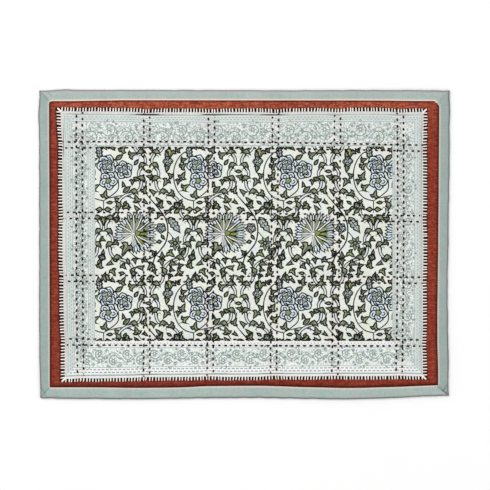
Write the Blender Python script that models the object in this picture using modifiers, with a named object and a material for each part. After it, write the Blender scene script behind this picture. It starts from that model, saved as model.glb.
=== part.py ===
"""Quilted cotton placemat, lying flat: a printed panel on a rust cloth, bound in sage.

Metres, +Z up. X runs along the long side and Y along the short one. The origin is the middle
of the mat, on the surface that it lies on. Sizes below are in millimetres, times MM.
"""
import math
from collections import namedtuple

import bmesh
import bpy

MM = 0.001

# ---------------------------------------------------------------- driving dimensions
MAT_LENGTH = 479.2 * MM         # straight-line size along X, before the edge's waves
MAT_DEPTH = 360.4 * MM          # the same along Y
GAP = 0.3 * MM                  # between one cloth and the next

BINDING_CLOTH = 1.0 * MM        # thickness of the sage strip
BINDING_WIDTH = 12.5 * MM       # usual width from the outer fold to the inner one
BACK_LEAF_WIDTH = 12.1 * MM     # the same strip on the underside
LEAF_END_ROUND = 0.3 * MM       # how far the upper leaf's inner fold bulges
FOLD_SEGMENTS = 6               # facets round the outer fold
MITRE_SETBACK = 0.25 * MM       # each strip stops this far short of the corner's mitre

GROUND_AT_EDGE = 1.2 * MM       # rust cloth and wadding, pressed flat in the binding
GROUND_IN_FIELD = 2.3 * MM      # the same where it is free
GROUND_FOLD_CLEARANCE = 0.4 * MM    # the ground stops this far short of the fold's centre line
SHELF = 0.6 * MM                # the ground stays pressed this far past the binding
RAMP = 2.0 * MM                 # then it drops to the table over this width

PANEL_CLOTH = 1.2 * MM
TROUGH_DEPTH = 0.55 * MM        # how far the quilting draws the layers down
RIDGE_SHARE = 0.45              # share of that depth left between the two lines of a pair
QUILT_PAIR_SPACING = 7.1 * MM   # between the two lines of a pair
TROUGH_SHOULDER = 8.0 * MM      # from a line to where the cloth is full again
EDGE_DIP_REACH = 9.0 * MM       # how far along the edge each pair draws the panel in

EDGE_THICKNESS = BINDING_CLOTH * 2 + GAP * 2 + GROUND_AT_EDGE
GROUND_EDGE_INSET = EDGE_THICKNESS / 2 + GROUND_FOLD_CLEARANCE
WELD_DISTANCE = 0.01 * MM
CROSSING_PASSES = 3             # passes that settle where two nearly straight lines cross

# The mat's four edges. `edge` rows are (place along the side, how far the outline stands out
# from the straight edge); `fold` rows are (place, how far in the binding's inner fold lies);
# `panel` rows are (place, how far in the printed panel's edge lies between quilting lines).
# Places are X for the far and near sides and Y for the left and right ones. All millimetres.
SIDES = {
    "far": {
        "edge": [(-235, 0.0), (-198, 1.0), (-178, 0.3), (-140, 0.1), (45, -0.3), (120, 0.0)],
        "fold": [(-209, 13.1), (-172, 12.4), (-150, 12.0), (150, 12.2), (210, 12.9)],
        "panel": [(-209, 25.9), (-150, 26.4), (-79, 27.3), (0, 27.0), (150, 25.9), (200, 27.2)],
    },
    "near": {
        "edge": [(-235, -0.3), (-198, 0.8), (-86, 0.8), (-49, -0.1), (19, -0.4), (66, 0.5),
                 (119, 1.5), (138, 0.8), (175, -0.2), (213, -1.9), (231, -2.5)],
        "fold": [(-172, 13.7), (-125, 13.1), (-79, 13.4), (-40, 15.2), (24, 15.5), (70, 14.0),
                 (124, 12.8), (170, 13.9), (200, 15.2), (220, 16.2)],
        "panel": [(-209, 24.5), (-150, 25.3), (-79, 26.7), (0, 26.6), (70, 27.5), (200, 27.6)],
    },
    "left": {
        "edge": [(-176, -1.0), (-159, -0.6), (-112, 0.0), (-7, 0.0), (121, 0.2), (156, 1.1),
                 (177, 0.3)],
        "fold": [(-126, 13.2), (16, 12.8), (154, 12.4)],
        "panel": [(-145, 31.2), (-94, 30.0), (-5, 28.1), (78, 28.4), (154, 26.2)],
    },
    "right": {
        "edge": [(-173, 0.6), (-159, -0.4), (-117, -0.5), (-103, -1.0), (-61, -1.5),
                 (-37, -1.5), (-19, -0.7), (9, -0.4), (51, 0.0), (79, 0.7), (149, 0.8),
                 (163, 1.5), (177, 1.8)],
        "fold": [(-145, 13.5), (-126, 14.4), (-77, 14.4), (-54, 14.0), (16, 13.3), (70, 12.8),
                 (154, 12.3)],
        "panel": [(-154, 31.1), (-78, 31.1), (-5, 30.2), (72, 30.7), (150, 30.4)],
    },
}

# Double lines of quilting, one row a pair, in millimetres: where the pair's centre runs at its
# start, middle and end, and how far it draws in the panel's edge at its start and end.
# Columns run from near to far, and rows from left to right.
Pair = namedtuple("Pair", "start middle end start_dip end_dip")
QUILT_COLUMNS = [
    Pair(-190.2, -191.8, -191.7, 0.9, 0.8),
    Pair(-113.4, -113.0, -113.3, 0.7, 1.9),
    Pair(-39.3, -38.6, -37.3, 1.1, 1.2),
    Pair(34.6, 35.9, 37.5, 1.4, 2.0),
    Pair(106.3, 108.0, 110.0, 0.8, 1.7),
    Pair(180.7, 183.2, 182.5, 1.0, 1.3),
]
QUILT_ROWS = [
    Pair(-114.6, -115.3, -115.9, 1.1, 1.0),
    Pair(-40.1, -41.2, -42.9, 1.2, 0.9),
    Pair(33.2, 31.8, 28.6, 1.0, 1.2),
    Pair(115.2, 115.0, 110.6, 1.5, 0.9),
]

BINDING_STATIONS = {"far": 16, "near": 20, "left": 13, "right": 15}
NEIGHBOURS = {                  # the side met at the low end of a side, and at its high end
    "far": ("left", "right"),
    "near": ("left", "right"),
    "left": ("near", "far"),
    "right": ("near", "far"),
}

COLOURS = {                     # sRGB, 0 to 255, and roughness
    "sage_cotton": ((166, 181, 176), 0.88),
    "rust_cotton": ((146, 62, 46), 0.90),
    "printed_cotton": ((206, 210, 200), 0.86),
}


# ---------------------------------------------------------------- lines in plan
def table_value(rows, place):
    """The value of a short table at a place, eased from one row to the next."""
    place = place / MM
    if place <= rows[0][0]:
        return rows[0][1] * MM
    for (start, low), (end, high) in zip(rows, rows[1:]):
        if place <= end:
            share = (place - start) / (end - start)
            ease = share * share * (3 - 2 * share)
            return (low + (high - low) * ease) * MM
    return rows[-1][1] * MM


def runs_along_x(side):
    return side in ("far", "near")


def half_size(side):
    """From the middle of the mat to the straight line of a side."""
    return (MAT_DEPTH if runs_along_x(side) else MAT_LENGTH) / 2


def direction(side):
    return 1 if side in ("far", "right") else -1


def outline(side, place):
    """Distance from the middle to the mat's outer edge."""
    return half_size(side) + table_value(SIDES[side]["edge"], place)


def inner_fold(side, place):
    """Distance from the middle to the binding's inner fold."""
    return half_size(side) - table_value(SIDES[side]["fold"], place)


def ground_edge(side, place):
    """Distance from the middle to the ground's own edge, inside the binding's outer fold."""
    outer = outline(side, place)
    return outer + (inner_fold(side, place) - outer) * GROUND_EDGE_INSET / BINDING_WIDTH


def panel_edge(side, place):
    """Distance from the middle to the printed panel's edge, drawn in at the quilting."""
    inset = table_value(SIDES[side]["panel"], place)
    for pair in QUILT_COLUMNS if runs_along_x(side) else QUILT_ROWS:
        at_end = direction(side) > 0
        centre = (pair.end if at_end else pair.start) * MM
        dip = (pair.end_dip if at_end else pair.start_dip) * MM
        inset += dip * math.exp(-((place - centre) / EDGE_DIP_REACH) ** 2)
    return half_size(side) - inset


def pair_centre(pair, place, reach):
    """Where a quilting pair's centre runs, `place` being between -reach and reach."""
    share = place / reach
    slope = (pair.end - pair.start) / 2
    bow = (pair.end + pair.start) / 2 - pair.middle
    return (pair.middle + slope * share + bow * share * share) * MM


# ---------------------------------------------------------------- the grid of stations
def side_line(side, distance_at, further_in=0.0):
    """A line along a side, as a function that gives its coordinate at a place."""
    return lambda place: direction(side) * (distance_at(side, place) - further_in)


def pair_lines(pair, reach):
    """The five lines that shape one quilting pair, each with its share of the trough."""
    half = QUILT_PAIR_SPACING / 2
    offsets = [(-half - TROUGH_SHOULDER, 0.0), (-half, 1.0), (0.0, RIDGE_SHARE),
               (half, 1.0), (half + TROUGH_SHOULDER, 0.0)]
    return [(lambda place, offset=offset: pair_centre(pair, place, reach) + offset, sink)
            for offset, sink in offsets]


def panel_lines(low_side, high_side, pairs, reach):
    """Lines across the printed panel from its low edge to its high one."""
    lines = [(side_line(low_side, panel_edge), 0.0)]
    for pair in pairs:
        lines += pair_lines(pair, reach)
    return lines + [(side_line(high_side, panel_edge), 0.0)]


def ground_lines(low_side, high_side, pairs, reach):
    """The panel's lines, with the pressed edge and the ramp added on both sides."""
    def border(side):
        return [(side_line(side, ground_edge), 0.0),
                (side_line(side, inner_fold, SHELF), 0.0),
                (side_line(side, inner_fold, SHELF + RAMP), 0.0)]
    return (border(low_side) + panel_lines(low_side, high_side, pairs, reach)
            + border(high_side)[::-1])


def station_grid(columns, rows):
    """A flat grid with a vertex where each column line meets each row line.

    Two integer layers keep each vertex's column and row number through an extrusion. Every
    cell is cut along the same diagonal, so that sheets laid on each other nest.
    """
    bm = bmesh.new()
    column_layer = bm.verts.layers.int.new("column")
    row_layer = bm.verts.layers.int.new("row")
    bmesh.ops.create_grid(bm, x_segments=len(columns) - 1, y_segments=len(rows) - 1, size=1.0)
    for vert in bm.verts:
        vert[column_layer] = round((vert.co.x + 1) / 2 * (len(columns) - 1))
        vert[row_layer] = round((vert.co.y + 1) / 2 * (len(rows) - 1))
        column_line = columns[vert[column_layer]][0]
        row_line = rows[vert[row_layer]][0]
        x, y = column_line(0.0), row_line(0.0)
        for _ in range(CROSSING_PASSES):
            x, y = column_line(y), row_line(x)
        vert.co = (x, y, 0.0)
    bmesh.ops.triangulate(bm, faces=bm.faces, quad_method="FIXED")
    return bm, column_layer, row_layer


def trough(columns, rows, column, row):
    """How far the quilting draws the layers down at one station."""
    return TROUGH_DEPTH * max(columns[column][1], rows[row][1])


# ---------------------------------------------------------------- the pieces
def mesh_from(bm, name):
    bmesh.ops.recalc_face_normals(bm, faces=bm.faces)
    mesh = bpy.data.meshes.new(name)
    bm.to_mesh(mesh)
    bm.free()
    return mesh


def ground_mesh():
    """The rust cloth and its wadding: thin in the binding, lying on the table inside it."""
    columns = ground_lines("left", "right", QUILT_COLUMNS, MAT_DEPTH / 2)
    rows = ground_lines("near", "far", QUILT_ROWS, MAT_LENGTH / 2)
    bm, column_layer, row_layer = station_grid(columns, rows)
    extruded = bmesh.ops.extrude_face_region(bm, geom=bm.faces[:])
    upper = {item for item in extruded["geom"] if isinstance(item, bmesh.types.BMVert)}
    for vert in bm.verts:
        column, row = vert[column_layer], vert[row_layer]
        lines_in = min(column, row, len(columns) - 1 - column, len(rows) - 1 - row)
        pressed = lines_in < 2
        under_panel = lines_in > 2
        if vert not in upper:
            vert.co.z = BINDING_CLOTH + GAP if pressed else 0.0
        elif pressed:
            vert.co.z = BINDING_CLOTH + GAP + GROUND_AT_EDGE
        elif under_panel:
            vert.co.z = GROUND_IN_FIELD - trough(columns, rows, column, row)
        else:
            vert.co.z = GROUND_IN_FIELD
    on_table = [face for face in bm.faces if all(vert.co.z == 0.0 for vert in face.verts)]
    bmesh.ops.dissolve_faces(bm, faces=on_table, use_verts=False)
    return mesh_from(bm, "rust_ground")


def panel_mesh():
    """The underside of the printed panel, as an open sheet that Solidify thickens."""
    columns = panel_lines("left", "right", QUILT_COLUMNS, MAT_DEPTH / 2)
    rows = panel_lines("near", "far", QUILT_ROWS, MAT_LENGTH / 2)
    bm, column_layer, row_layer = station_grid(columns, rows)
    for vert in bm.verts:
        sink = trough(columns, rows, vert[column_layer], vert[row_layer])
        vert.co.z = GROUND_IN_FIELD + GAP - sink
    return mesh_from(bm, "printed_panel")


def binding_section():
    """(inset from the outer fold, height) round the strip folded over the ground's edge."""
    radius = EDGE_THICKNESS / 2
    turns = [math.pi * step / FOLD_SEGMENTS for step in range(FOLD_SEGMENTS + 1)]

    def fold(arc_radius, angles):
        return [(radius - arc_radius * math.sin(turn), radius + arc_radius * math.cos(turn))
                for turn in angles]

    leaf_end = BINDING_WIDTH - LEAF_END_ROUND
    return ([(leaf_end, EDGE_THICKNESS - BINDING_CLOTH),
             (BINDING_WIDTH, EDGE_THICKNESS - BINDING_CLOTH / 2),
             (leaf_end, EDGE_THICKNESS)]
            + fold(radius, turns)
            + [(BACK_LEAF_WIDTH, 0.0), (BACK_LEAF_WIDTH, BINDING_CLOTH)]
            + fold(radius - BINDING_CLOTH, turns[::-1]))


def binding_point(side, line, step):
    """(along, across) on a line of the binding, `step` going from 0 to 1 between mitres."""
    at_corner = direction(side) * half_size(side)
    low_side, high_side = NEIGHBOURS[side]
    low = MITRE_SETBACK - line(low_side, at_corner)
    high = line(high_side, at_corner) - MITRE_SETBACK
    along = low + (high - low) * step
    return along, direction(side) * line(side, along)


def binding_mesh(side):
    """One strip of the binding, with its C-shaped section run from mitre to mitre."""
    section = binding_section()
    stations = BINDING_STATIONS[side]
    bm = bmesh.new()
    bmesh.ops.create_grid(bm, x_segments=stations, y_segments=len(section), size=1.0)
    for vert in bm.verts:
        step = round((vert.co.x + 1) / 2 * stations) / stations
        inset, height = section[round((vert.co.y + 1) / 2 * len(section)) % len(section)]
        outer = binding_point(side, outline, step)
        inner = binding_point(side, inner_fold, step)
        along, across = (start + (end - start) * inset / BINDING_WIDTH
                         for start, end in zip(outer, inner))
        vert.co = (along, across, height) if runs_along_x(side) else (across, along, height)
    bmesh.ops.remove_doubles(bm, verts=bm.verts, dist=WELD_DISTANCE)
    bmesh.ops.holes_fill(bm, edges=bm.edges, sides=0)
    return mesh_from(bm, "binding_" + side)


# ---------------------------------------------------------------- materials and assembly
def linear(channel):
    """A 0 to 255 sRGB channel as scene-linear light."""
    value = channel / 255
    return value / 12.92 if value <= 0.04045 else ((value + 0.055) / 1.055) ** 2.4


def fabric(name):
    colour, roughness = COLOURS[name]
    material = bpy.data.materials.new(name)
    material.use_nodes = True
    shader = material.node_tree.nodes["Principled BSDF"]
    shader.inputs["Base Color"].default_value = [linear(channel) for channel in colour] + [1.0]
    shader.inputs["Roughness"].default_value = roughness
    shader.inputs["Metallic"].default_value = 0.0
    return material


def add_piece(name, mesh, material, collection, parent):
    piece = bpy.data.objects.new(name, mesh)
    mesh.materials.append(material)
    piece.parent = parent
    collection.objects.link(piece)
    return piece


def build():
    for old in list(bpy.data.objects):
        bpy.data.objects.remove(old, do_unlink=True)
    collection = bpy.data.collections.new("Fabric placemat")
    bpy.context.scene.collection.children.link(collection)
    placemat = bpy.data.objects.new("placemat", None)
    collection.objects.link(placemat)

    add_piece("rust_ground", ground_mesh(), fabric("rust_cotton"), collection, placemat)

    panel = add_piece("printed_panel", panel_mesh(), fabric("printed_cotton"), collection,
                      placemat)
    solidify = panel.modifiers.new("Cloth thickness", "SOLIDIFY")
    solidify.thickness = PANEL_CLOTH
    solidify.offset = 1.0

    sage = fabric("sage_cotton")
    for side in SIDES:
        add_piece("binding_" + side, binding_mesh(side), sage, collection, placemat)


build()
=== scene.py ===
"""The looks of a quilted cotton placemat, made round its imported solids.

Sizes are in millimetres, +X along the long side, +Y to the far edge and +Z up, and become
metres where a mesh is made. The origin is the middle of the mat, on the surface it lies on.
"""

import math
import random
from collections import namedtuple

import bpy
import numpy as np
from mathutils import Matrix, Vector
from mathutils.geometry import delaunay_2d_cdt


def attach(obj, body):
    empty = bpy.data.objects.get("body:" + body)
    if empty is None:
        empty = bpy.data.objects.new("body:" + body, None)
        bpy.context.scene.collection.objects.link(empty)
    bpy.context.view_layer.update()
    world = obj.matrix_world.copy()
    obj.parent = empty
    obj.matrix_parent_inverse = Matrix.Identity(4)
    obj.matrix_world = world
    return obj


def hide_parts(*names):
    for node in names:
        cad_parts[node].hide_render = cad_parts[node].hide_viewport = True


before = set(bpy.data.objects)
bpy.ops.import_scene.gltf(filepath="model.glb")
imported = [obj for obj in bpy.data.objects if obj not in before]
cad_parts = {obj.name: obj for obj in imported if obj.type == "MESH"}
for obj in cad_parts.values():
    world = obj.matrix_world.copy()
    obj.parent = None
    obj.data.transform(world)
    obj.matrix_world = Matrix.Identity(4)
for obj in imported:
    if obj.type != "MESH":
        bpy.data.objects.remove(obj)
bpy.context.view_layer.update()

MM = 0.001
TAU = 2 * math.pi
SIDES = ("far", "near", "left", "right")


def by_side(*values):
    """One value for each side, in the order of SIDES."""
    return dict(zip(SIDES, values))


# The sides at the start and at the end of each side, which runs along +X or +Y
NEIGHBOURS = by_side(("left", "right"), ("left", "right"), ("near", "far"), ("near", "far"))

# --- heights, from the table up
FOLD_MIDDLE_Z = 1.9                  # middle of the binding's outer fold
LEAF_EDGE_Z = 3.3                    # middle of the upper leaf's inner edge
BINDING_CLOTH = 1.0
BINDING_TOP = 3.8
BINDING_WIDTH = 12.5                 # usual width; the frame gives the real one
GROUND_TOP = 2.45                    # the rust cloth where it shows
GROUND_UNDER_PANEL = 2.2
GROUND_PRESSED = (1.3, 2.5)          # bottom and top inside the binding
PANEL_BOTTOM = 2.35
PANEL_TOP = 3.8

# --- quilting
# Each row is a double line of stitches: where its centre runs at its start, middle and end.
# Columns run from near to far, and rows from left to right.
Pair = namedtuple("Pair", "start middle end")
QUILT_COLUMNS = [Pair(-190.2, -191.8, -191.7), Pair(-113.4, -113.0, -113.3),
                 Pair(-39.3, -38.6, -37.3), Pair(34.6, 35.9, 37.5),
                 Pair(106.3, 108.0, 110.0), Pair(180.7, 183.2, 182.5)]
QUILT_ROWS = [Pair(-114.6, -115.3, -115.9), Pair(-40.1, -41.2, -42.9),
              Pair(33.2, 31.8, 28.6), Pair(115.2, 115.0, 110.6)]
PAIR_SPACING = 7.1
STITCH_PITCH = 7.1
COLUMN_REACH, ROW_REACH = 180.2, 239.6   # from the middle to where a pair's ends are given

# --- the print's layout
FIELD_WIDTH, FIELD_DEPTH = 347.0, 227.3  # cream field between the borders
FIELD_HALF = (FIELD_WIDTH / 2, FIELD_DEPTH / 2)
BORDER = 40.0                            # usual width from the field to the panel's edge
PANEL_HALF = (FIELD_WIDTH / 2 + BORDER, FIELD_DEPTH / 2 + BORDER)
MARGIN = 2.4                             # unprinted edge of the panel
REPEAT_WIDTH, REPEAT_DEPTH = 105.0, 154.0    # one repeat of the trellis
REPEAT_X, REPEAT_Y = -111.0, 13.8            # middle of one fan cell
OUTLINE, OUTLINE_WITHIN = 0.82, 0.76         # a motif's dark line, outside and inside its edge
SHARPEST_CORNER = 0.9                # keeps an outline's sharp tips from shooting out


# --- plane geometry
def around(x, y, reach, angle):
    """The point at a distance and a direction from a place."""
    return x + reach * math.cos(angle), y + reach * math.sin(angle)


def placed(points, x, y, angle, size, flip=1):
    cos, sin = math.cos(angle) * size, math.sin(angle) * size
    return [(x + cos * px - sin * py * flip, y + sin * px + cos * py * flip)
            for px, py in points]


def swollen(points, margin):
    """The outline with its sides moved out by `margin`, or in where that is below zero."""
    before, after = points[-1:] + points[:-1], points[1:] + points[:1]
    turn = sum(ax * by - bx * ay for (ax, ay), (bx, by) in zip(points, after))
    moved = []
    for (ax, ay), (bx, by), (cx, cy) in zip(before, points, after):
        first, second = math.hypot(bx - ax, by - ay) or 1.0, math.hypot(cx - bx, cy - by) or 1.0
        nx = (by - ay) / first + (cy - by) / second
        ny = (ax - bx) / first + (bx - cx) / second
        reach = margin * 2 / max(nx * nx + ny * ny, SHARPEST_CORNER)
        reach = math.copysign(reach, margin * turn)
        moved.append((bx + nx * reach, by + ny * reach))
    return moved


def smooth(points, step):
    """Points about `step` apart on a curve through the given ones."""
    line = []
    for i in range(len(points) - 1):
        p0, p1, p2, p3 = (points[max(i - 1, 0)], points[i], points[i + 1],
                          points[min(i + 2, len(points) - 1)])
        count = max(1, round(math.dist(p1, p2) / step))
        for k in range(count):
            t = k / count
            line.append(tuple(
                0.5 * (2 * b + (c - a) * t + (2 * a - 5 * b + 4 * c - d) * t * t
                       + (3 * b - a - 3 * c + d) * t ** 3)
                for a, b, c, d in zip(p0, p1, p2, p3)))
    return line + [points[-1]]


def stroke(line, width, end_share=0.35):
    """A pen stroke along a line, narrower towards both of its ends."""
    left, right = [], []
    last = len(line) - 1
    for i, (x, y) in enumerate(line):
        ax, ay = line[max(i - 1, 0)]
        bx, by = line[min(i + 1, last)]
        length = math.hypot(bx - ax, by - ay) or 1.0
        taper = end_share + (1 - end_share) * min(1.0, 3 * math.sin(math.pi * i / last))
        half = width / 2 * taper
        nx, ny = -(by - ay) / length * half, (bx - ax) / length * half
        left.append((x + nx, y + ny))
        right.append((x - nx, y - ny))
    return left + right[::-1]


def ring(x, y, radius, sides, wobble=0.0, lobes=0, turn=0.0):
    """A round outline, whose radius swells by a share of itself at each lobe."""
    return [around(x, y, radius * (1 + wobble * math.cos(lobes * a)), a + turn)
            for a in (TAU * k / sides for k in range(sides))]


def rectangle(half_x, half_y):
    return [(-half_x, -half_y), (half_x, -half_y), (half_x, half_y), (-half_x, half_y)]


def mirrored(half):
    """A closed outline from its upper half, given from base to tip."""
    return half + [(x, -y) for x, y in half[::-1] if abs(y) > 1e-6]


# --- motifs of the field
# A mark is (ink, outline). Each mark lies over the ones before it.
# Upper halves of the leaves, base to tip, for a length of 1: (along, across)
LEAVES = {
    "ivy": mirrored([(0.02, 0.0), (-0.20, 0.18), (-0.10, 0.44), (0.10, 0.60), (0.22, 0.26),
                     (0.58, 0.18), (1.0, 0.0)]),
    "spear": mirrored([(0.0, 0.0), (-0.18, 0.44), (0.16, 0.26), (0.55, 0.20), (1.0, 0.0)]),
    "lance": mirrored([(0.0, 0.0), (0.18, 0.17), (0.45, 0.25), (0.72, 0.17), (1.0, 0.0)]),
    "cap": mirrored([(-0.26, 0.0), (-0.06, 0.14), (-0.02, 0.36), (-0.24, 0.70), (0.14, 0.52),
                     (0.40, 0.26), (0.56, 0.0)]),
    "kite": mirrored([(0.0, 0.0), (0.38, 0.34), (1.0, 0.0)]),
    "feather": mirrored([(0.0, 0.0), (0.12, 0.12), (0.22, 0.19), (0.36, 0.15), (0.46, 0.22),
                         (0.58, 0.14), (0.68, 0.17), (0.80, 0.08), (1.0, 0.0)]),
}
LEAF_VEIN = [(0.05, 0.0), (0.40, 0.03), (0.70, 0.0)]
VEINED_LENGTH = 9                    # leaves longer than this have a vein
FEATHER_VEINS = [(0.0, 0.92), (0.12, 0.30), (0.30, 0.50), (0.48, 0.68)]     # start and end
PETAL_CURL = [(0.42, -0.45), (0.66, -0.34), (0.80, 0.0), (0.64, 0.28), (0.50, 0.12)]
STAR_PETALS = 7
STAR_RIB = [(0.2, 0.0), (0.5, 0.03), (0.8, 0.0)]
# Petals of the fan: direction and half width in degrees, reach, inks of the fringe and the foot
FAN_PETALS = [(99, 14, 1.08, "plume", "olive"), (72, 13, 1.16, "plume", "olive"),
              (46, 13, 1.24, "blue", "shade"), (22, 12, 1.26, "plume", "olive"),
              (-2, 12, 1.16, "blue", "bright"), (-25, 12, 1.24, "plume", "olive"),
              (-50, 15, 1.18, "blue", "bright"), (-82, 15, 1.04, "blue", "plume"),
              (128, 16, 1.0, "blue", "olive"), (159, 16, 0.98, "blue", "olive"),
              (190, 16, 1.0, "blue", "plume")]
# One petal's outlines: (share of its reach, share of its half width)
FAN_FRINGE = [(0.08, -0.3), (0.55, -0.8), (0.82, -1.0), (1.0, -0.6), (0.86, -0.35), (1.06, 0.0),
              (0.87, 0.3), (1.02, 0.65), (0.80, 1.0), (0.55, 0.8), (0.08, 0.3)]
FAN_FOOT = [(0.12, -0.5), (0.45, -0.78), (0.72, -0.3), (0.60, 0.05), (0.78, 0.4), (0.45, 0.78),
            (0.12, 0.5)]
# White ribs of the fan: direction in degrees, reach
FAN_RIBS = [(32, 0.9), (57, 0.9), (84, 1.0), (113, 0.95), (143, 0.8), (174, 0.7), (204, 0.85),
            (262, 0.8), (298, 1.0), (325, 1.0)]


def dark_line(line, width, end_share=0.35):
    return "dark", stroke(line, width, end_share)


def inked(shape, fill, outside=OUTLINE, within=OUTLINE_WITHIN):
    """A filled outline with a dark line along it."""
    return [("dark", swollen(shape, outside)), (fill, swollen(shape, -within))]


def leaf(kind, x, y, angle, length, flip=1, fill="olive"):
    """A leaf in two tones, one on each side of its middle rib."""
    marks = inked(placed(LEAVES[kind], x, y, angle, length, flip), fill)
    inner = marks[-1][1]
    marks.append(("shade", inner[:len(inner) // 2 + 1]))
    if length > VEINED_LENGTH:
        marks.append(dark_line(placed(LEAF_VEIN, x, y, angle, length, flip), 0.8))
    return marks


def feather(x, y, angle, length):
    """A long leaf with a saw edge and slanting veins."""
    marks = inked(placed(LEAVES["feather"], x, y, angle, length), "plume")
    for start, end in FEATHER_VEINS:
        for side in (-1, 1):
            reach = 0.0 if start == 0.0 else 0.15 * side
            line = [(start, 0.0), ((start + end) / 2, reach * 0.6), (end, reach)]
            marks.append(dark_line(placed(line, x, y, angle, length), 1.0))
    return marks


def stem(points, width):
    return [dark_line(smooth(points, 3.2), width, 0.55)]


def rosette(x, y, radius, petals, turn, inner=0):
    """A round flower of lobed petals lapping over each other, each with a curl inside."""
    marks = []
    for k in range(petals):
        a = turn + TAU * k / petals
        px, py = around(x, y, radius * 0.54, a)
        curl = [around(x, y, radius * r, a + d) for r, d in PETAL_CURL]
        marks += [("dark", ring(px, py, radius * 0.50 + 0.75, 13, 0.07, 5, a)),
                  ("blue", ring(px, py, radius * 0.50 - 0.7, 10, 0.08, 3, a)),
                  dark_line(curl, 1.4, 0.5)]
    if inner:
        return marks + rosette(x, y, radius * 0.58, inner, turn + 0.6)
    return marks + [("dark", ring(x, y, radius * 0.38, 9, 0.15, 3)),
                    ("olive", ring(x, y, radius * 0.26, 8, 0.2, 3)),
                    ("bright", ring(x + radius * 0.07, y - radius * 0.05, radius * 0.13, 6))]


def fan(x, y, radius):
    """A round blossom of fringed petals with green feet, and white ribs over them."""
    marks = []
    for direction, half, reach, fringe_ink, foot_ink in FAN_PETALS:
        middle, half, size = math.radians(direction), math.radians(half), radius * reach

        def polar(rows):
            return [around(x, y, size * out, middle + half * side) for out, side in rows]

        marks += inked(polar(FAN_FRINGE), fringe_ink, 0.8, 0.6)
        marks += inked(polar(FAN_FOOT), foot_ink, 0.5, 0.35)
        for side, low in ((-0.35, 0.66), (0.35, 0.70)):
            line = [(low, side), ((low + 0.92) / 2, side + 0.06), (0.92, side)]
            marks.append(dark_line(polar(line), 1.2))
    for direction, reach in FAN_RIBS:
        rib = [around(x, y, radius * r, math.radians(direction) + 0.12 * r)
               for r in (0.04, reach / 2, reach)]
        marks += [dark_line(rib, 2.7, 0.7), ("cream", stroke(rib, 1.3, 0.7))]
    return marks + [("dark", ring(x + 4.4, y + 0.6, radius * 0.17, 9, 0.25, 3)),
                    ("bright", ring(x + 4.4, y + 0.6, radius * 0.13, 9, 0.3, 3)),
                    ("cream", ring(x - 0.4, y, radius * 0.06, 6))]


def star(x, y, radius):
    """A small flower of narrow petals, every second one longer."""
    marks = []
    for k in range(STAR_PETALS):
        angle = TAU * k / STAR_PETALS + 0.2
        petal = placed(LEAVES["lance"], x, y, angle, radius * (1 if k % 2 else 0.86))
        marks += inked(petal, "olive" if k % 2 else "plume", 0.6, 0.5)
        marks.append(dark_line(placed(STAR_RIB, x, y, angle, radius), 0.8))
    return marks + inked(ring(x, y, radius * 0.26, 8), "olive")


def bud(x, y, angle, size):
    """A half-open flower between two leaves."""
    return (leaf("spear", *around(x, y, size * 0.30, angle), angle + 0.2, size * 0.75)
            + leaf("lance", *around(x, y, -size * 0.25, angle), angle + math.pi - 0.3, size * 0.8)
            + rosette(x, y, size * 0.46, 4, angle))


# --- one repeat of the field
GARLAND_TOP, GARLAND_SIDE = 7.0, 46.7    # from the cell's middle line, at its ends and waist
GARLAND_LINKS = 10
GARLAND_BOW = 3.5                    # how far a link bows from the straight
GARLAND_WIDTHS = (4.0, 1.8)          # of its dark line and of the pale one inside
GARLAND_CURL = [(3.0, -1.9), (2.3, -0.7), (1.8, 0.7), (1.5, 2.2)]
FRESH_LEAVES = 6                     # one motif leaf in this many is a brighter green
PLACED_SIZE = 0.93                   # size of the placed leaves against their tables
FILLER_SPACING = 3.8                 # clear space that a filler leaf needs round its middle
FILLER_TRIES = 14000
CLUSTER_DROP = 4.7                   # of the cluster cell, from half a repeat away
# Stems of the two cells: width, the points they run through
FAN_CELL_STEMS = [
    (1.6, [(-1, 42), (11.5, 27.6), (20, 15), (22.5, 2.5), (20, -12), (13, -22), (7, -30),
           (4, -44)]),
    (1.6, [(13, -22), (2, -31), (-12, -31), (-20, -25)]),
    (1.6, [(-1, 42), (-4, 50), (-2, 60)]), (1.0, [(9, -27), (16, -34), (15, -46)]),
    (1.0, [(22, 1), (28, -6), (30, -12)]), (1.0, [(19, 14), (25, 12), (27, 9)]),
    (1.2, [(-20, -25), (-24, -20), (-18, -10), (-14, -2)]),
]
CLUSTER_ARC = [(23.5 * math.cos(math.radians(a)), -6 + 30 * math.sin(math.radians(a)))
               for a in range(95, 271, 25)]
CLUSTER_CELL_STEMS = [
    (1.3, [(6, 34)] + CLUSTER_ARC + [(0, -36), (0, -50)]),
    (1.3, [(17, -10), (17, -22), (9, -30), (0, -36)]),
    (1.3, [(6, -33), (22, -30), (36, -34), (44, -44)]),
    (1.0, [(-14, 17), (-15, 8), (-12, 2)]), (1.0, [(-17, -25), (-12, -24), (-5, -26)]),
]
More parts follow.
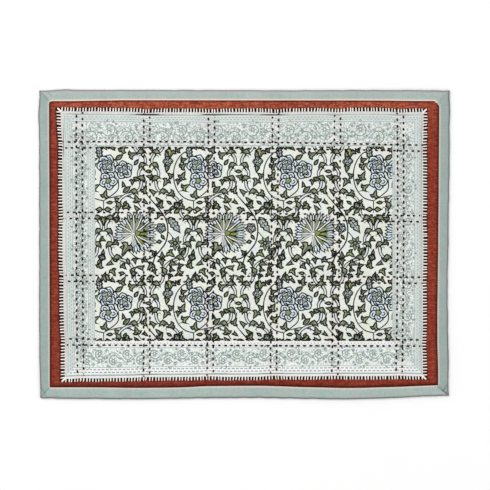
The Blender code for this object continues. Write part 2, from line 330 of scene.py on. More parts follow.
# Leaves of the two cells: kind, x, y, angle in degrees, length
FAN_CELL_LEAVES = [
    ("ivy", -27, -19, 250, 11), ("lance", -25, -31, 290, 8), ("ivy", -6, -32, 330, 7),
    ("ivy", 13, 30, 60, 8), ("ivy", 3, 27, 250, 8), ("spear", 20, 23, 20, 7.5),
    ("ivy", 24, -24, 320, 9), ("ivy", 15, -33, 280, 8), ("kite", 15, -11, 190, 6.5),
    ("ivy", 4, -38, 230, 9), ("spear", -7, -42, 170, 8), ("ivy", -13, 36, 110, 9),
    ("ivy", -24, 30, 200, 8), ("spear", 7, 45, 140, 8), ("ivy", -6, 47, 60, 8),
    ("ivy", 26, -36, 340, 8), ("spear", -17, -47, 250, 8), ("ivy", 2, -53, 290, 8),
    ("lance", 30, 22, 40, 9), ("ivy", 36, -22, 20, 7.5), ("ivy", -36, 14, 150, 7),
    ("ivy", -37, -12, 210, 7),
]
CLUSTER_CELL_LEAVES = [
    ("ivy", -26, 22, 250, 11), ("spear", -31, 6, 100, 9), ("ivy", -31, -12, 240, 9),
    ("ivy", -24, -27, 200, 8), ("ivy", -14, 3, 40, 8), ("ivy", -14, -9, 60, 9),
    ("ivy", -12, -21, 30, 8.5), ("spear", 0, 26, 75, 10), ("lance", 6, 25, 115, 9),
    ("ivy", 21, 22, 60, 9), ("ivy", 31, 17, 20, 9), ("lance", 36, 6, 55, 8),
    ("lance", 35, -9, 340, 8), ("lance", 23, -26, 40, 11), ("ivy", 1, -31, 75, 9),
    ("lance", 13, -33, 330, 9), ("kite", -1, -46, 180, 9), ("kite", 1, -46, 0, 9),
    ("ivy", 0, -56, 270, 9), ("ivy", -13, -42, 210, 8), ("ivy", 24, -41, 340, 9),
    ("ivy", 14, -51, 300, 8), ("ivy", -16, 33, 110, 8), ("ivy", -5, 41, 70, 8),
    ("ivy", 10, 37, 300, 8), ("spear", -12, 56, 80, 8), ("ivy", 12, 50, 40, 8),
]


def garland_x(y):
    """How far the trellis is from its fan cell's middle line."""
    wave = math.tanh(1.5 * math.cos(TAU * y / REPEAT_DEPTH)) / math.tanh(1.5)
    return (GARLAND_TOP + GARLAND_SIDE) / 2 + (GARLAND_SIDE - GARLAND_TOP) / 2 * wave


def garland(side):
    """A leafy band of the trellis through one repeat, on side -1 or 1 of the fan cell."""
    marks, caps = [], []
    pitch = REPEAT_DEPTH / GARLAND_LINKS
    for k in range(GARLAND_LINKS):
        y0 = -REPEAT_DEPTH / 2 + pitch * k
        (ax, ay), (bx, by) = [(side * garland_x(y), y) for y in (y0, y0 + pitch)]
        along = math.atan2(by - ay, bx - ax)
        lean = side if k % 2 else -side
        nx, ny = -math.sin(along) * lean, math.cos(along) * lean

        def beside(from_a, from_b, off):
            return ax * from_a + bx * from_b + nx * off, ay * from_a + by * from_b + ny * off

        route = smooth([beside(1, 0, 0.8), beside(0.75, 0.25, -GARLAND_BOW),
                        beside(0.4, 0.6, -GARLAND_BOW), beside(0, 1, -0.4)], 2.8)
        curl = [around(*beside(0.3, 0.7, 2.0), r, along + a * lean) for r, a in GARLAND_CURL]
        marks += [dark_line(route, GARLAND_WIDTHS[0], 0.55),
                  ("stem", stroke(route, GARLAND_WIDTHS[1], 0.5)), dark_line(curl, 1.0, 0.6)]
        caps += leaf("cap", ax, ay, along + 0.35 * lean, 8.4, lean)
    return marks + caps


def stems_and_leaves(stems, leaves):
    marks = []
    for width, points in stems:
        marks += stem(points, width)
    for number, (kind, x, y, angle, length) in enumerate(leaves):
        fill = "olive" if number % FRESH_LEAVES else "fresh"
        marks += leaf(kind, x, y, math.radians(angle), length * PLACED_SIZE, fill=fill)
    return marks


def fan_cell():
    return (stems_and_leaves(FAN_CELL_STEMS, FAN_CELL_LEAVES)
            + feather(24, 17, math.radians(-55), 22) + rosette(14.5, 4.5, 5.6, 5, 0.9)
            + star(31, -13, 8.5) + bud(33, 31, math.radians(40), 9) + fan(-17.5, -2, 21.5)
            + leaf("ivy", -24, -16, math.radians(235), 13))


def cluster_cell():
    return (stems_and_leaves(CLUSTER_CELL_STEMS, CLUSTER_CELL_LEAVES)
            + bud(-30, 10, math.radians(95), 12) + bud(-2, 52, math.radians(70), 9)
            + feather(-4, 13, math.radians(98), 17) + leaf("lance", 14, 12, math.radians(35), 10)
            + rosette(23.5, 0, 10.2, 5, 0.5, 3) + rosette(4, 6, 11.4, 6, 0.2, 4)
            + rosette(5.5, -12.5, 10.2, 5, 1.1))


def shifted(marks, dx, dy):
    return [(ink, [(x + dx, y + dy) for x, y in points]) for ink, points in marks]


def filler_leaves(marks):
    """Small leaves on short stalks, wherever the other motifs of a repeat leave room."""
    chance = random.Random(7)
    columns, rows = round(REPEAT_WIDTH / FILLER_SPACING), round(REPEAT_DEPTH / FILLER_SPACING)
    taken = {}

    def cell(x, y):
        return int(x / REPEAT_WIDTH * columns), int(y / REPEAT_DEPTH * rows)

    def near(x, y):
        column, row = cell(x, y)
        for i in range(column - 2, column + 3):
            for j in range(row - 2, row + 3):
                for px, py in taken.get((i % columns, j % rows), ()):
                    dx = (px - x + REPEAT_WIDTH / 2) % REPEAT_WIDTH - REPEAT_WIDTH / 2
                    dy = (py - y + REPEAT_DEPTH / 2) % REPEAT_DEPTH - REPEAT_DEPTH / 2
                    yield math.hypot(dx, dy), dx, dy

    def occupy(marks):
        for _, points in marks:
            for x, y in points:
                x, y = x % REPEAT_WIDTH, y % REPEAT_DEPTH
                column, row = cell(x, y)
                taken.setdefault((column % columns, row % rows), []).append((x, y))

    occupy(marks)
    leaves = []
    for _ in range(FILLER_TRIES):
        x, y = chance.uniform(0, REPEAT_WIDTH), chance.uniform(0, REPEAT_DEPTH)
        gap, dx, dy = min(near(x, y), default=(0.0, 0.0, 0.0))
        if gap < FILLER_SPACING:
            continue
        away = math.atan2(-dy, -dx) + chance.uniform(-0.5, 0.5)
        length = chance.uniform(5.4, 6.9)
        bx, by = x - math.cos(away) * length * 0.45, y - math.sin(away) * length * 0.45
        kind = chance.choice(("ivy", "ivy", "spear", "lance"))
        stalk = [(x + dx, y + dy), ((x + dx + bx) / 2 + 0.8, (y + dy + by) / 2), (bx, by)]
        piece = stem(stalk, 0.8) + leaf(kind, bx, by, away, length, chance.choice((-1, 1)))
        occupy(piece)
        leaves += piece
    return leaves


def field_marks():
    """The trellis all over the field; a repeat's origin is the middle of its fan cell."""
    unit = (garland(-1) + garland(1) + fan_cell()
            + shifted(cluster_cell(), REPEAT_WIDTH / 2, REPEAT_DEPTH / 2 - CLUSTER_DROP))
    unit += filler_leaves(unit)
    marks = []
    for column in range(-1, 5):
        for row in range(-2, 2):
            marks += shifted(unit, REPEAT_X + REPEAT_WIDTH * column,
                             REPEAT_Y + REPEAT_DEPTH * row)
    return marks


# --- the border
Strip = namedtuple("Strip", "lines scroll dashes pitch dots")
# What each side's border holds, by its distance from the field's edge; `pitch` is the dashes'
STRIPS = by_side(Strip((1.0, 29.1, 37.3), (1.6, 28.4), (31.9, 34.3), 4.2, ()),
                 Strip((7.2, 29.8, 38.3), (7.9, 29.1), (32.2, 35.4), 4.9, (2.4, 4.8)),
                 Strip((1.2, 8.6, 27.8, 35.8), (9.2, 27.2), (30.5, 32.9), 4.2, (3.4, 5.8)),
                 Strip((0.9, 3.2, 29.4, 38.4), (3.8, 28.8), (33.2, 36.0), 4.4, ()))
RULE_WIDTH = 0.8
DASH_WIDTH, DASH_SHARE = 1.2, 0.64   # a dash's width, and its length as a share of the pitch
DOT_LENGTH, DOT_PITCH = 2.1, 3.9
SPECK_LENGTH, SPECK_AREA = 2.7, 75.0     # small loose leaves, and the space for each of them
SCROLL_DEPTH = 19.6                  # width of the scroll that its sizes are given for
VINE_WAVE, VINE_SWING, VINE_STEP = 30.0, 5.4, 3.0
VINE_PIECE = 8                       # steps in one stroke of the vine
SPIRAL_OFF, SPIRAL_RADIUS = 3.6, 6.3     # middle of a spiral from the vine's line, and its size


def side_frames():
    """Each side's half length and place(s, u), which puts a point u out from the field."""
    w, d = FIELD_HALF
    return {"far": (w, lambda s, u: (s, d + u)), "near": (w, lambda s, u: (-s, -d - u)),
            "left": (d, lambda s, u: (-w - u, s)), "right": (d, lambda s, u: (w + u, -s))}


def border_rule(half, low, high, ink="rule"):
    """A band parallel to the field's edge, mitred at both corners."""
    count = round(half / 12)
    steps = [k / count for k in range(-count, count + 1)]
    return ink, ([((half + low) * t, low) for t in steps]
                 + [((half + high) * t, high) for t in steps[::-1]])


def border_row(half, row, pitch, ink, shape):
    """Marks of one shape in a row, evenly apart."""
    count = round(2 * (half + row) / pitch)
    return [mark for k in range(count)
            for mark in shifted([(ink, shape)], (k + 0.5 - count / 2) * pitch, row)]


def ring_flower(x, y, radius, petals):
    """A small round flower: a ring with a pale middle, in a ring of points."""
    marks = []
    for a in (TAU * k / petals for k in range(petals)):
        marks.append(("grey", placed(LEAVES["kite"], *around(x, y, radius * 0.95, a), a,
                                     radius * 0.85)))
    return marks + [("grey", ring(x, y, radius, 9)), ("pale", ring(x, y, radius * 0.5, 7))]


def border_scroll(half, low, high, chance):
    """The grey vine along one side, in (s, u) with s along the side and u out from the field."""
    unit = (high - low) / SCROLL_DEPTH
    middle = (low + high) / 2
    length = 2 * (half + middle)
    waves = round(length / (VINE_WAVE * unit))
    wave = length / waves
    start = -length / 2
    line = [(s, middle + VINE_SWING * unit * math.sin(TAU * (s - start) / wave))
            for s in (start + k * VINE_STEP for k in range(int(length / VINE_STEP) + 1))]
    marks = [("rule", stroke(line[k:k + VINE_PIECE + 1], 1.1, 0.9))
             for k in range(0, len(line) - 1, VINE_PIECE)]
    for k in range(2 * waves):
        side = -1 if k % 2 else 1
        s, u = start + (k + 0.5) * wave / 2, middle - side * SPIRAL_OFF * unit
        spiral = [around(s, u, unit * (SPIRAL_RADIUS - 0.4 * t), math.pi * (0.9 - t / 4) * side)
                  for t in range(8)]
        marks.append(("grey", stroke(smooth(spiral, 3.0), 1.2, 0.6)))
        leaves = round(8 * unit)
        for number in range(leaves):
            angle = TAU * number / leaves + chance.uniform(-0.3, 0.3)
            x, y = around(s, u, SPIRAL_RADIUS * unit, angle)
            shape = placed(LEAVES["kite"], x, y, angle + chance.uniform(-0.9, 0.9), 4.0)
            marks.append((chance.choice(("grey", "grey", "moss")), shape))
        marks += ring_flower(s, u, 2.5, 6)
        marks += ring_flower(s + wave / 4, middle + side * 7.4 * unit, 1.6, 4)
    for _ in range(round(length * (high - low) / SPECK_AREA)):
        s, u = chance.uniform(-length / 2, length / 2), chance.uniform(low + 1.5, high - 1.5)
        marks.append(("grey", placed(LEAVES["kite"], s, u, chance.uniform(0, TAU), SPECK_LENGTH)))
    return marks


def border_marks():
    """The four sides' borders. The near one lies on a brighter ground than the others."""
    chance = random.Random(11)
    dot = placed(LEAVES["kite"], 0.0, 0.0, 0.0, DOT_LENGTH)
    marks = []
    for side, (half, place) in side_frames().items():
        strip = STRIPS[side]
        clear = side == "near"
        own = [border_rule(half, 0.0, BORDER, "clear")] if clear else []
        own.append(border_rule(half, *strip.scroll, "clear_scroll" if clear else "scroll"))
        for middle in strip.lines:
            own.append(border_rule(half, middle - RULE_WIDTH / 2, middle + RULE_WIDTH / 2))
        dash = rectangle(DASH_SHARE * strip.pitch / 2, DASH_WIDTH / 2)
        for row in strip.dashes:
            own += border_row(half, row, strip.pitch, "grey" if clear else "rule", dash)
        for row in strip.dots:
            own += border_row(half, row, DOT_PITCH, "grey", dot)
        own += border_scroll(half, *strip.scroll, chance)
        marks += [(ink, [place(*p) for p in points]) for ink, points in own]
    return marks


def clipped(points, half_x, half_y):
    """The part of an outline inside a rectangle round the origin."""
    for axis, sign, limit in ((0, 1, half_x), (0, -1, half_x), (1, 1, half_y), (1, -1, half_y)):
        kept = []
        for a, b in zip(points[-1:] + points[:-1], points):
            a_in, b_in = a[axis] * sign <= limit, b[axis] * sign <= limit
            if a_in != b_in:
                share = (limit * sign - a[axis]) / (b[axis] - a[axis])
                kept.append(tuple(p + (q - p) * share for p, q in zip(a, b)))
            if b_in:
                kept.append(b)
        if len(kept) < 3:
            return []
        points = kept
    return points


def print_marks():
    """The whole print, from its ground up."""
    marks = [("margin", rectangle(*PANEL_HALF)),
             ("aqua", rectangle(*(half - MARGIN for half in PANEL_HALF)))]
    marks += [(ink, clipped(points, *PANEL_HALF)) for ink, points in border_marks()]
    marks.append(("field", rectangle(*FIELD_HALF)))
    marks += [(ink, clipped(points, *FIELD_HALF)) for ink, points in field_marks()]
    return [mark for mark in marks if mark[1]]


# --- edges read from the frame
HEIGHT_MATCH = 0.05                  # corners this near a height are at it
EDGE_BAND = 8.0                      # corners this near the outermost one are on the edge
STATION_GAP = 1.0
EASING = (-6.0, -3.0, 0.0, 3.0, 6.0)     # places averaged, so that an edge has no kinks
# How far out the cloths' real edges lie from the edges of their plain solids
OUTER_SHIFT = by_side(-0.65, 0.2, -0.75, 0.0)
FOLD_SHIFT = by_side(-0.7, 1.15, 0.0, 0.85)
PANEL_SHIFT = by_side(0.9, 2.1, 0.6, 0.85)


def clamped(value):
    return np.clip(value, 0, 1)


def eased(share):
    return share * share * (3 - 2 * share)


def falloff(distance, reach):
    """1 at no distance, and falling away over the reach."""
    return np.exp(-(distance / reach) ** 2)


def stacked(x, y, z):
    return np.stack([x, y, z], axis=1)


def runs_along_x(side):
    return side in ("far", "near")


def outward(side):
    return 1 if side in ("far", "right") else -1


def side_point(side, along, out):
    """(x, y) from a place along a side and a distance out from the middle."""
    across = out * outward(side)
    return (along, across) if runs_along_x(side) else (across, along)


def edge_line(node, side, height, shift):
    """A function: how far out a CAD node's edge lies at a place along a side of the mat."""
    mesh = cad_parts[node].data
    corners = np.empty(len(mesh.vertices) * 3)
    mesh.vertices.foreach_get("co", corners)
    corners = corners.reshape(-1, 3) / MM
    if height is not None:
        corners = corners[np.abs(corners[:, 2] - height) < HEIGHT_MATCH]
    along = corners[:, 0 if runs_along_x(side) else 1]
    out = corners[:, 1 if runs_along_x(side) else 0] * outward(side)
    on_edge = out > out.max() - EDGE_BAND
    order = np.argsort(along[on_edge])
    along, out = along[on_edge][order], out[on_edge][order]
    breaks = np.flatnonzero(np.diff(along) > STATION_GAP) + 1
    stations = [group[np.argmax(out[group])] for group in np.split(np.arange(len(along)), breaks)]
    places, values = along[stations], out[stations]
    return lambda place: shift + sum(np.interp(np.asarray(place, float) + ease, places, values)
                                     for ease in EASING) / len(EASING)


def edge_lines(node, height=None, shifts=by_side(0.0, 0.0, 0.0, 0.0)):
    return {side: edge_line(node.format(side), side, height, shifts[side]) for side in SIDES}


OUTER = edge_lines("binding_{}", FOLD_MIDDLE_Z, OUTER_SHIFT)
FOLD = edge_lines("binding_{}", LEAF_EDGE_Z, FOLD_SHIFT)
PRINT = edge_lines("printed_panel")
PANEL = edge_lines("printed_panel", None, PANEL_SHIFT)
GROUND = edge_lines("rust_ground")


def inside_one(edges, side, x, y):
    """How far points are inside a cloth's edge on one side."""
    along, across = (x, y) if runs_along_x(side) else (y, x)
    return edges[side](along) - across * outward(side)


def inside(edges, x, y):
    """How far points are inside a cloth's edge; below zero outside it."""
    return np.min([inside_one(edges, side, x, y) for side in SIDES], axis=0)


def side_ends(edges, side, inset, corner_edges=None):
    """Where a cloth's side starts and ends, less an inset at each corner."""
    low_side, high_side = NEIGHBOURS[side]
    corner = outward(side) * (corner_edges or edges)[side](0.0)
    return inset - edges[low_side](corner), edges[high_side](corner) - inset


def fitted(x, y, half, edges, reach):
    """Moves points of a plain rectangle so that its sides lie on a cloth's uneven edges."""
    def share(value, limit):
        return clamped((value - (limit - reach)) / reach)

    new_x = (x + share(x, half[0]) * (edges["right"](y) - half[0])
             - share(-x, half[0]) * (edges["left"](y) - half[0]))
    new_y = (y + share(y, half[1]) * (edges["far"](x) - half[1])
             - share(-y, half[1]) * (edges["near"](x) - half[1]))
    return new_x, new_y


def panel_plan(x, y):
    """Moves points of the plain print onto the panel, which is wider by its bare margin."""
    wider = {}
    for side in SIDES:
        edge = PANEL_HALF[1 if runs_along_x(side) else 0] + PANEL_SHIFT[side]
        wider[side] = lambda place, edge=edge: edge
    print_x, print_y = fitted(x, y, PANEL_HALF, PRINT, BORDER)
    rim_x, rim_y = fitted(x, y, PANEL_HALF, wider, MARGIN)
    return print_x + rim_x - x, print_y + rim_y - y


# --- relief of the cloths
VALLEY_REACH, VALLEY_DEPTH = 6.0, 0.45   # the wadding, pressed down round a line
GROOVE_REACH, GROOVE_DEPTH = 1.3, 0.40   # the cloth, drawn in at the thread
PUCKER_REACH, PUCKER_HEIGHT = 3.2, 0.13  # the cloth between one stitch and the next
SWELL_SPAN, SWELL_HEIGHT = 34.0, 0.16
CRINKLE_HEIGHT = 0.09
EDGE_PRESS_REACH, EDGE_PRESS = 3.0, 0.45     # the panel, held down by the overcast stitches
EDGE_ROUND, EDGE_DROP = 1.1, 0.6     # the panel's turned edge: its width and height
GROUND_GROOVES = 0.5                 # its grooves under the panel, as a share of the panel's
BACK_VALLEY, BACK_GROOVE, BACK_PUCKER = 0.14, 0.34, 0.05     # of the underside, drawn up
BACK_GROOVE_REACH, BACK_LIFT = 2.2, 0.06
# Widths of the strips in which one of the ground's heights passes into the next
UNDER_PANEL_BLEND, FOLD_BLEND, BACK_PANEL_BLEND = 2.0, 1.5, 4.0
ROW_START = 1.9                      # by how much each pair's stitches start after the last one's


def noise_maker(seed, size=64):
    """A smooth random function of x and y, from -1 to 1, with about one bump in a length of 1."""
    lattice = np.random.default_rng(seed).uniform(-1, 1, (size, size))

    def noise(x, y):
        column, row = np.floor(x).astype(int), np.floor(y).astype(int)
        s, t = eased(x - column), eased(y - row)

        def at(i, j):
            return lattice[(column + i) % size, (row + j) % size]

        return ((at(0, 0) * (1 - s) + at(1, 0) * s) * (1 - t)
                + (at(0, 1) * (1 - s) + at(1, 1) * s) * t)
    return noise


swell, crinkle, ripple, drift = (noise_maker(seed) for seed in (3, 5, 8, 13))

# Unevenness of the cloths: layers of (noise, height, a bump's length in X and Y, shift in X and Y)
PANEL_FOLDS = ((crinkle, 0.6, 9, 3.1, 0, 0), (crinkle, 0.6, 2.7, 8, 9, 5))
GROUND_WAVES = ((swell, 0.14, 13, 13, 7, 0), (crinkle, 0.15, 3.4, 3.4, 0, 3),
                (ripple, 0.10, 1.9, 1.9, 0, 0))
BACK_WAVES = ((swell, 0.05, 11, 11, 0, 30), (crinkle, 0.03, 3.6, 3.6, 0, 8))
LEAF_WAVES = ((swell, 0.16, 17, 17, 0, 11), (crinkle, 0.10, 5.2, 5.2, 0, 0),
              (ripple, 0.05, 2.3, 2.3, 0, 0))


def uneven(height, layers, x, y):
    """A height with layers of unevenness on it."""
    for noise, rise, length_x, length_y, shift_x, shift_y in layers:
        height = height + rise * noise(x / length_x + shift_x, y / length_y + shift_y)
    return height


# One line of stitches: its place off its pair's centre, and where one of its stitches lies
QuiltLine = namedtuple("QuiltLine", "upright pair offset phase")
QUILT_LINES = [QuiltLine(upright, pair, half * PAIR_SPACING / 2,
                         ROW_START * number % STITCH_PITCH + (half > 0) * STITCH_PITCH / 2)
               for upright, pairs in ((True, QUILT_COLUMNS), (False, QUILT_ROWS))
               for number, pair in enumerate(pairs) for half in (-1, 1)]


def line_centre(line, place):
    """Where a line of quilting runs, at a place along it."""
    share = place / (COLUMN_REACH if line.upright else ROW_REACH)
    pair = line.pair
    slope, bow = (pair.end - pair.start) / 2, (pair.end + pair.start) / 2 - pair.middle
    return pair.middle + slope * share + bow * share * share + line.offset


def quilt_shape(x, y, narrow):
    """(how deep in a quilting valley points are, how near a stitch line, the puckers' wave)."""
    valley, near, pucker = np.zeros_like(x), np.zeros_like(x), np.zeros_like(x)
    for line in QUILT_LINES:
        across, along = (x, y) if line.upright else (y, x)
        off = across - line_centre(line, along)
        wave = np.cos(TAU * (along - line.phase) / STITCH_PITCH)
        valley = np.maximum(valley, falloff(off, VALLEY_REACH))
        near = np.maximum(near, falloff(off, narrow))
        pucker += wave * falloff(off, PUCKER_REACH)
    return valley, near, pucker


def panel_height(x, y):
    """Top of the printed panel."""
    valley, near, pucker = quilt_shape(x, y, GROOVE_REACH)
    depth = np.maximum(inside(PANEL, x, y), 0)
    rim = clamped(1 - depth / EDGE_ROUND)
    return (PANEL_TOP + SWELL_HEIGHT * swell(x / SWELL_SPAN, y / SWELL_SPAN)
            - VALLEY_DEPTH * valley - GROOVE_DEPTH * near
            + PUCKER_HEIGHT * pucker + CRINKLE_HEIGHT * uneven(0, PANEL_FOLDS, x, y)
            - EDGE_PRESS * falloff(depth, EDGE_PRESS_REACH)
            - EDGE_DROP * (1 - np.sqrt(1 - rim ** 2)))


def ground_height(x, y):
    """Top of the rust cloth: pressed in the binding, free in the band, low under the panel."""
    valley, near, _ = quilt_shape(x, y, GROOVE_REACH * 2)
    free = uneven(GROUND_TOP, GROUND_WAVES, x, y)
    under = GROUND_UNDER_PANEL - GROUND_GROOVES * (VALLEY_DEPTH * valley + GROOVE_DEPTH * near)
    share = clamped(inside(PANEL, x, y) / UNDER_PANEL_BLEND + 1.0)
    height = free * (1 - share) + under * share
    pressed = clamped(-inside(FOLD, x, y) / FOLD_BLEND + 0.5)
    return height * (1 - pressed) + GROUND_PRESSED[1] * pressed


def underside_height(x, y):
    """Bottom of the rust cloth, drawn up along the quilting."""
    valley, near, pucker = quilt_shape(x, y, BACK_GROOVE_REACH)
    in_panel = clamped(inside(PANEL, x, y) / BACK_PANEL_BLEND)
    drawn = (BACK_VALLEY * valley + BACK_GROOVE * near + BACK_PUCKER * np.abs(pucker)) * in_panel
    waves = uneven(BACK_LIFT, BACK_WAVES, x, y)
    pressed = clamped(1 - (inside(FOLD, x, y) - 0.6) / 2.0)
    return np.maximum((drawn + waves) * (1 - pressed) + GROUND_PRESSED[0] * pressed, 0)


# --- making meshes
MERGE = 1e-4                         # corners nearer than this become one


def triangulated(points, edges=()):
    """Corners and triangles, anticlockwise, of a plane mesh that keeps the points and edges."""
    points = [tuple(map(float, point)) for point in points]
    found = delaunay_2d_cdt(points, list(edges), [], 0, MERGE, False)
    corners, triangles = np.array([tuple(corner) for corner in found[0]]), np.array(found[2])
    a, b, c = (corners[triangles[:, k]] for k in range(3))
    area = (b[:, 0] - a[:, 0]) * (c[:, 1] - a[:, 1]) - (c[:, 0] - a[:, 0]) * (b[:, 1] - a[:, 1])
    triangles[area < 0] = triangles[area < 0][:, ::-1]
    return corners, triangles


def rim_edges(triangles):
    """The directed edges that only one triangle has."""
    edges = np.concatenate([triangles[:, [0, 1]], triangles[:, [1, 2]], triangles[:, [2, 0]]])
    known = {tuple(edge) for edge in edges.tolist()}
    return [(a, b) for a, b in known if (b, a) not in known]


def add_object(name, data):
    thing = bpy.data.objects.new(name, data)
    bpy.context.scene.collection.objects.link(thing)
    return thing


def make_piece(name, corners, faces, materials, inks=None, fields=None, normals=None):
    """A smooth mesh object. Corners are in millimetres; fields are named values, one a corner."""
    mesh = bpy.data.meshes.new(name)
    mesh.from_pydata((np.asarray(corners) * MM).tolist(), [], faces)
    for material in materials:
        mesh.materials.append(material)
    if inks is not None:
        mesh.polygons.foreach_set("material_index", np.asarray(inks, np.int32))
    mesh.polygons.foreach_set("use_smooth", np.ones(len(mesh.polygons), bool))
    for field, values in (fields or {}).items():
        attribute = mesh.attributes.new(field, "FLOAT", "POINT")
        attribute.data.foreach_set("value", np.asarray(values, np.float32))
    mesh.update()
    if normals is not None:
        mesh.normals_split_custom_set_from_vertices(np.asarray(normals).tolist())
    piece = add_object(name, mesh)
    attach(piece, "root")
    return piece


def slope_normals(height, x, y, step=0.25):
    """Normals of a height function, by small differences."""
    dx = (height(x + step, y) - height(x - step, y)) / (2 * step)
    dy = (height(x, y + step) - height(x, y - step)) / (2 * step)
    normals = stacked(-dx, -dy, np.ones_like(dx))
    return normals / np.linalg.norm(normals, axis=1)[:, None]


# --- materials
def srgb(red, green, blue):
    """A colour of 0 to 255 channels as scene-linear light."""
    def linear(channel):
        value = channel / 255
        return value / 12.92 if value <= 0.04045 else ((value + 0.055) / 1.055) ** 2.4
    return (linear(red), linear(green), linear(blue), 1.0)


class Finish:
    """A material under construction: its node tree, with short ways to add to it."""

    def __init__(self, name):
        self.material = bpy.data.materials.new(name)
        self.material.use_nodes = True
        self.tree = self.material.node_tree
        self.shader = self.tree.nodes["Principled BSDF"]
        metres = self.node("TexCoord").outputs["Object"]
        self.place = self.node("VectorMath", {0: metres, "Scale": 1 / MM},
                               operation="SCALE").outputs[0]

    def node(self, kind, values=(), **settings):
        """A shader node with the settings, and with values or links in the named inputs."""
        node = self.tree.nodes.new("ShaderNode" + kind)
        for name, setting in settings.items():
            setattr(node, name, setting)
        for socket, value in dict(values).items():
            self.put(node.inputs[socket], value)
        return node

    def put(self, socket, value):
        if isinstance(value, bpy.types.NodeSocket):
            self.tree.links.new(value, socket)
        else:
            socket.default_value = value

    def math(self, operation, *values):
        return self.node("Math", enumerate(values), operation=operation).outputs[0]

    def noise(self, stretch, detail=2.0, roughness=0.5, seed=0.0, distortion=0.0):
        """Noise from 0 to 1, with `stretch` bumps a millimetre all ways or along X, Y and Z."""
        stretch = stretch if isinstance(stretch, tuple) else (stretch,) * 3
        place = self.node("VectorMath", {0: self.place, 1: stretch}, operation="MULTIPLY")
        return self.node("TexNoise", {
            "W": seed, "Distortion": distortion, "Vector": place.outputs[0], "Scale": 1.0,
            "Detail": detail, "Roughness": roughness}, noise_dimensions="4D").outputs[0]

    def ranged(self, value, low, high, to_low=0.0, to_high=1.0):
        return self.node("MapRange", enumerate((value, low, high, to_low, to_high))).outputs[0]

    def mixed(self, share, first, second):
        return self.node("Mix", {0: share, 6: first, 7: second}, data_type="RGBA").outputs[2]

    def tinted(self, colour, *tints):
        """The colour under tints, each given as (share, its channels)."""
        for share, tint in tints:
            colour = self.mixed(share, colour, srgb(*tint))
        return colour

    def field(self, name):
        """A value that the mesh carries on its corners."""
        return self.node("Attribute", attribute_name=name).outputs["Fac"]

    def axes(self):
        """Sockets for X and Y in millimetres."""
        return self.node("SeparateXYZ", {0: self.place}).outputs[:2]

    def bump(self, height, distance, strength):
        node = self.node("Bump", {"Height": height, "Distance": distance * MM,
                                  "Strength": strength})
        self.put(self.shader.inputs["Normal"], node.outputs[0])

    def finish(self, colour, roughness, sheen=0.0):
        for name, value in (("Base Color", colour), ("Roughness", roughness),
                            ("Sheen Weight", sheen), ("Specular IOR Level", 0.15)):
            self.put(self.shader.inputs[name], value)
        return self.material


def cotton(name, pale, deep, edit, pitch=0.55, slub=0.5, broad=0.5, blotch=0.0, contrast=0.17):
    """Plain-woven cotton: `pale` and `deep` are the ends of its colour variation.

    The weights are those of streaks along the threads, of wide and of small patches, and
    edit(finish, colour) colours it further.
    """
    finish = Finish(name)
    weft = finish.noise((0.09, 1.3, 0.5))
    warp = finish.noise((1.3, 0.09, 0.5), seed=3.0)
    grain = finish.noise(2.2, 1.0, seed=5.0)
    streaks = finish.math("MULTIPLY", finish.math("ADD", weft, warp), 0.5)
    parts = ((streaks, slub), (finish.noise(0.035, 3.0, seed=7.0), broad),
             (finish.noise(0.32, 2.5, 0.6, seed=9.0), blotch), (grain, 0.25))
    total = sum(weight for _, weight in parts)
    share = 0.0
    for part, weight in parts:
        share = finish.math("MULTIPLY_ADD", part, weight / total, share)
    share = finish.ranged(share, 0.5 - contrast, 0.5 + contrast)
    colour = edit(finish, finish.mixed(share, srgb(*deep), srgb(*pale)))
    waves = [finish.math("SINE", finish.math("MULTIPLY", axis, math.pi / pitch))
             for axis in finish.axes()]
    weave = finish.math("MULTIPLY", *waves)
    height = finish.math("ADD", finish.math("MULTIPLY", weave, 0.5),
                         finish.math("MULTIPLY", streaks, 1.6))
    finish.bump(height, 0.12, 0.7)
    return finish.finish(colour, finish.ranged(grain, 0.3, 0.7, 0.80, 0.95), sheen=0.12)


def sage_cotton():
    """The binding's cloth: greyer towards its outer fold, pale and warm along its inner one as a
    painted highlight, and with painted shade along its outer fold, in its creases and on its left
    and right sides.
    """
    def edit(finish, cloth):
        warm = finish.noise(0.07, seed=11.0)
        faded = finish.noise(0.05, seed=12.0)
        brim = finish.math("MULTIPLY", finish.field("brim"),
                           finish.ranged(faded, 0.3, 0.6, 0.55, 1.0))
        # Painted highlight along the inner fold, and painted shade along the outer fold, in the
        # creases and on the left and right sides
        return finish.tinted(cloth, (finish.ranged(warm, 0.45, 0.62, 0.0, 0.35), (178, 178, 174)),
                             (brim, (186, 180, 184)), (finish.field("fold_highlight"), (250, 221, 206)),
                             (finish.field("dim"), (120, 137, 134)),
                             (finish.field("outer_fold_and_crease_shade"), (56, 60, 60)))
    return cotton("sage_cotton", (181, 199, 192), (145, 167, 161), edit,
                  slub=0.7, blotch=0.5, contrast=0.12)


def rust_cotton():
    """The ground's cloth, in deep shade beside the binding and between the overcast stitches."""
    def edit(finish, cloth):
        streak = finish.noise((0.10, 0.75, 0.5), 2.0, 0.6, seed=13.0)
        return finish.tinted(cloth, (finish.ranged(streak, 0.46, 0.64, 0.0, 0.75), (104, 32, 24)),
                             (finish.field("dim"), (110, 12, 8)),
                             (finish.field("shade"), (44, 6, 2)))
    return cotton("rust_cotton", (194, 100, 70), (128, 50, 35), edit,
                  slub=0.9, broad=0.3, blotch=0.9, contrast=0.07)


CLOTH = (232, 230, 220)              # the panel's cotton, where an ink is thin
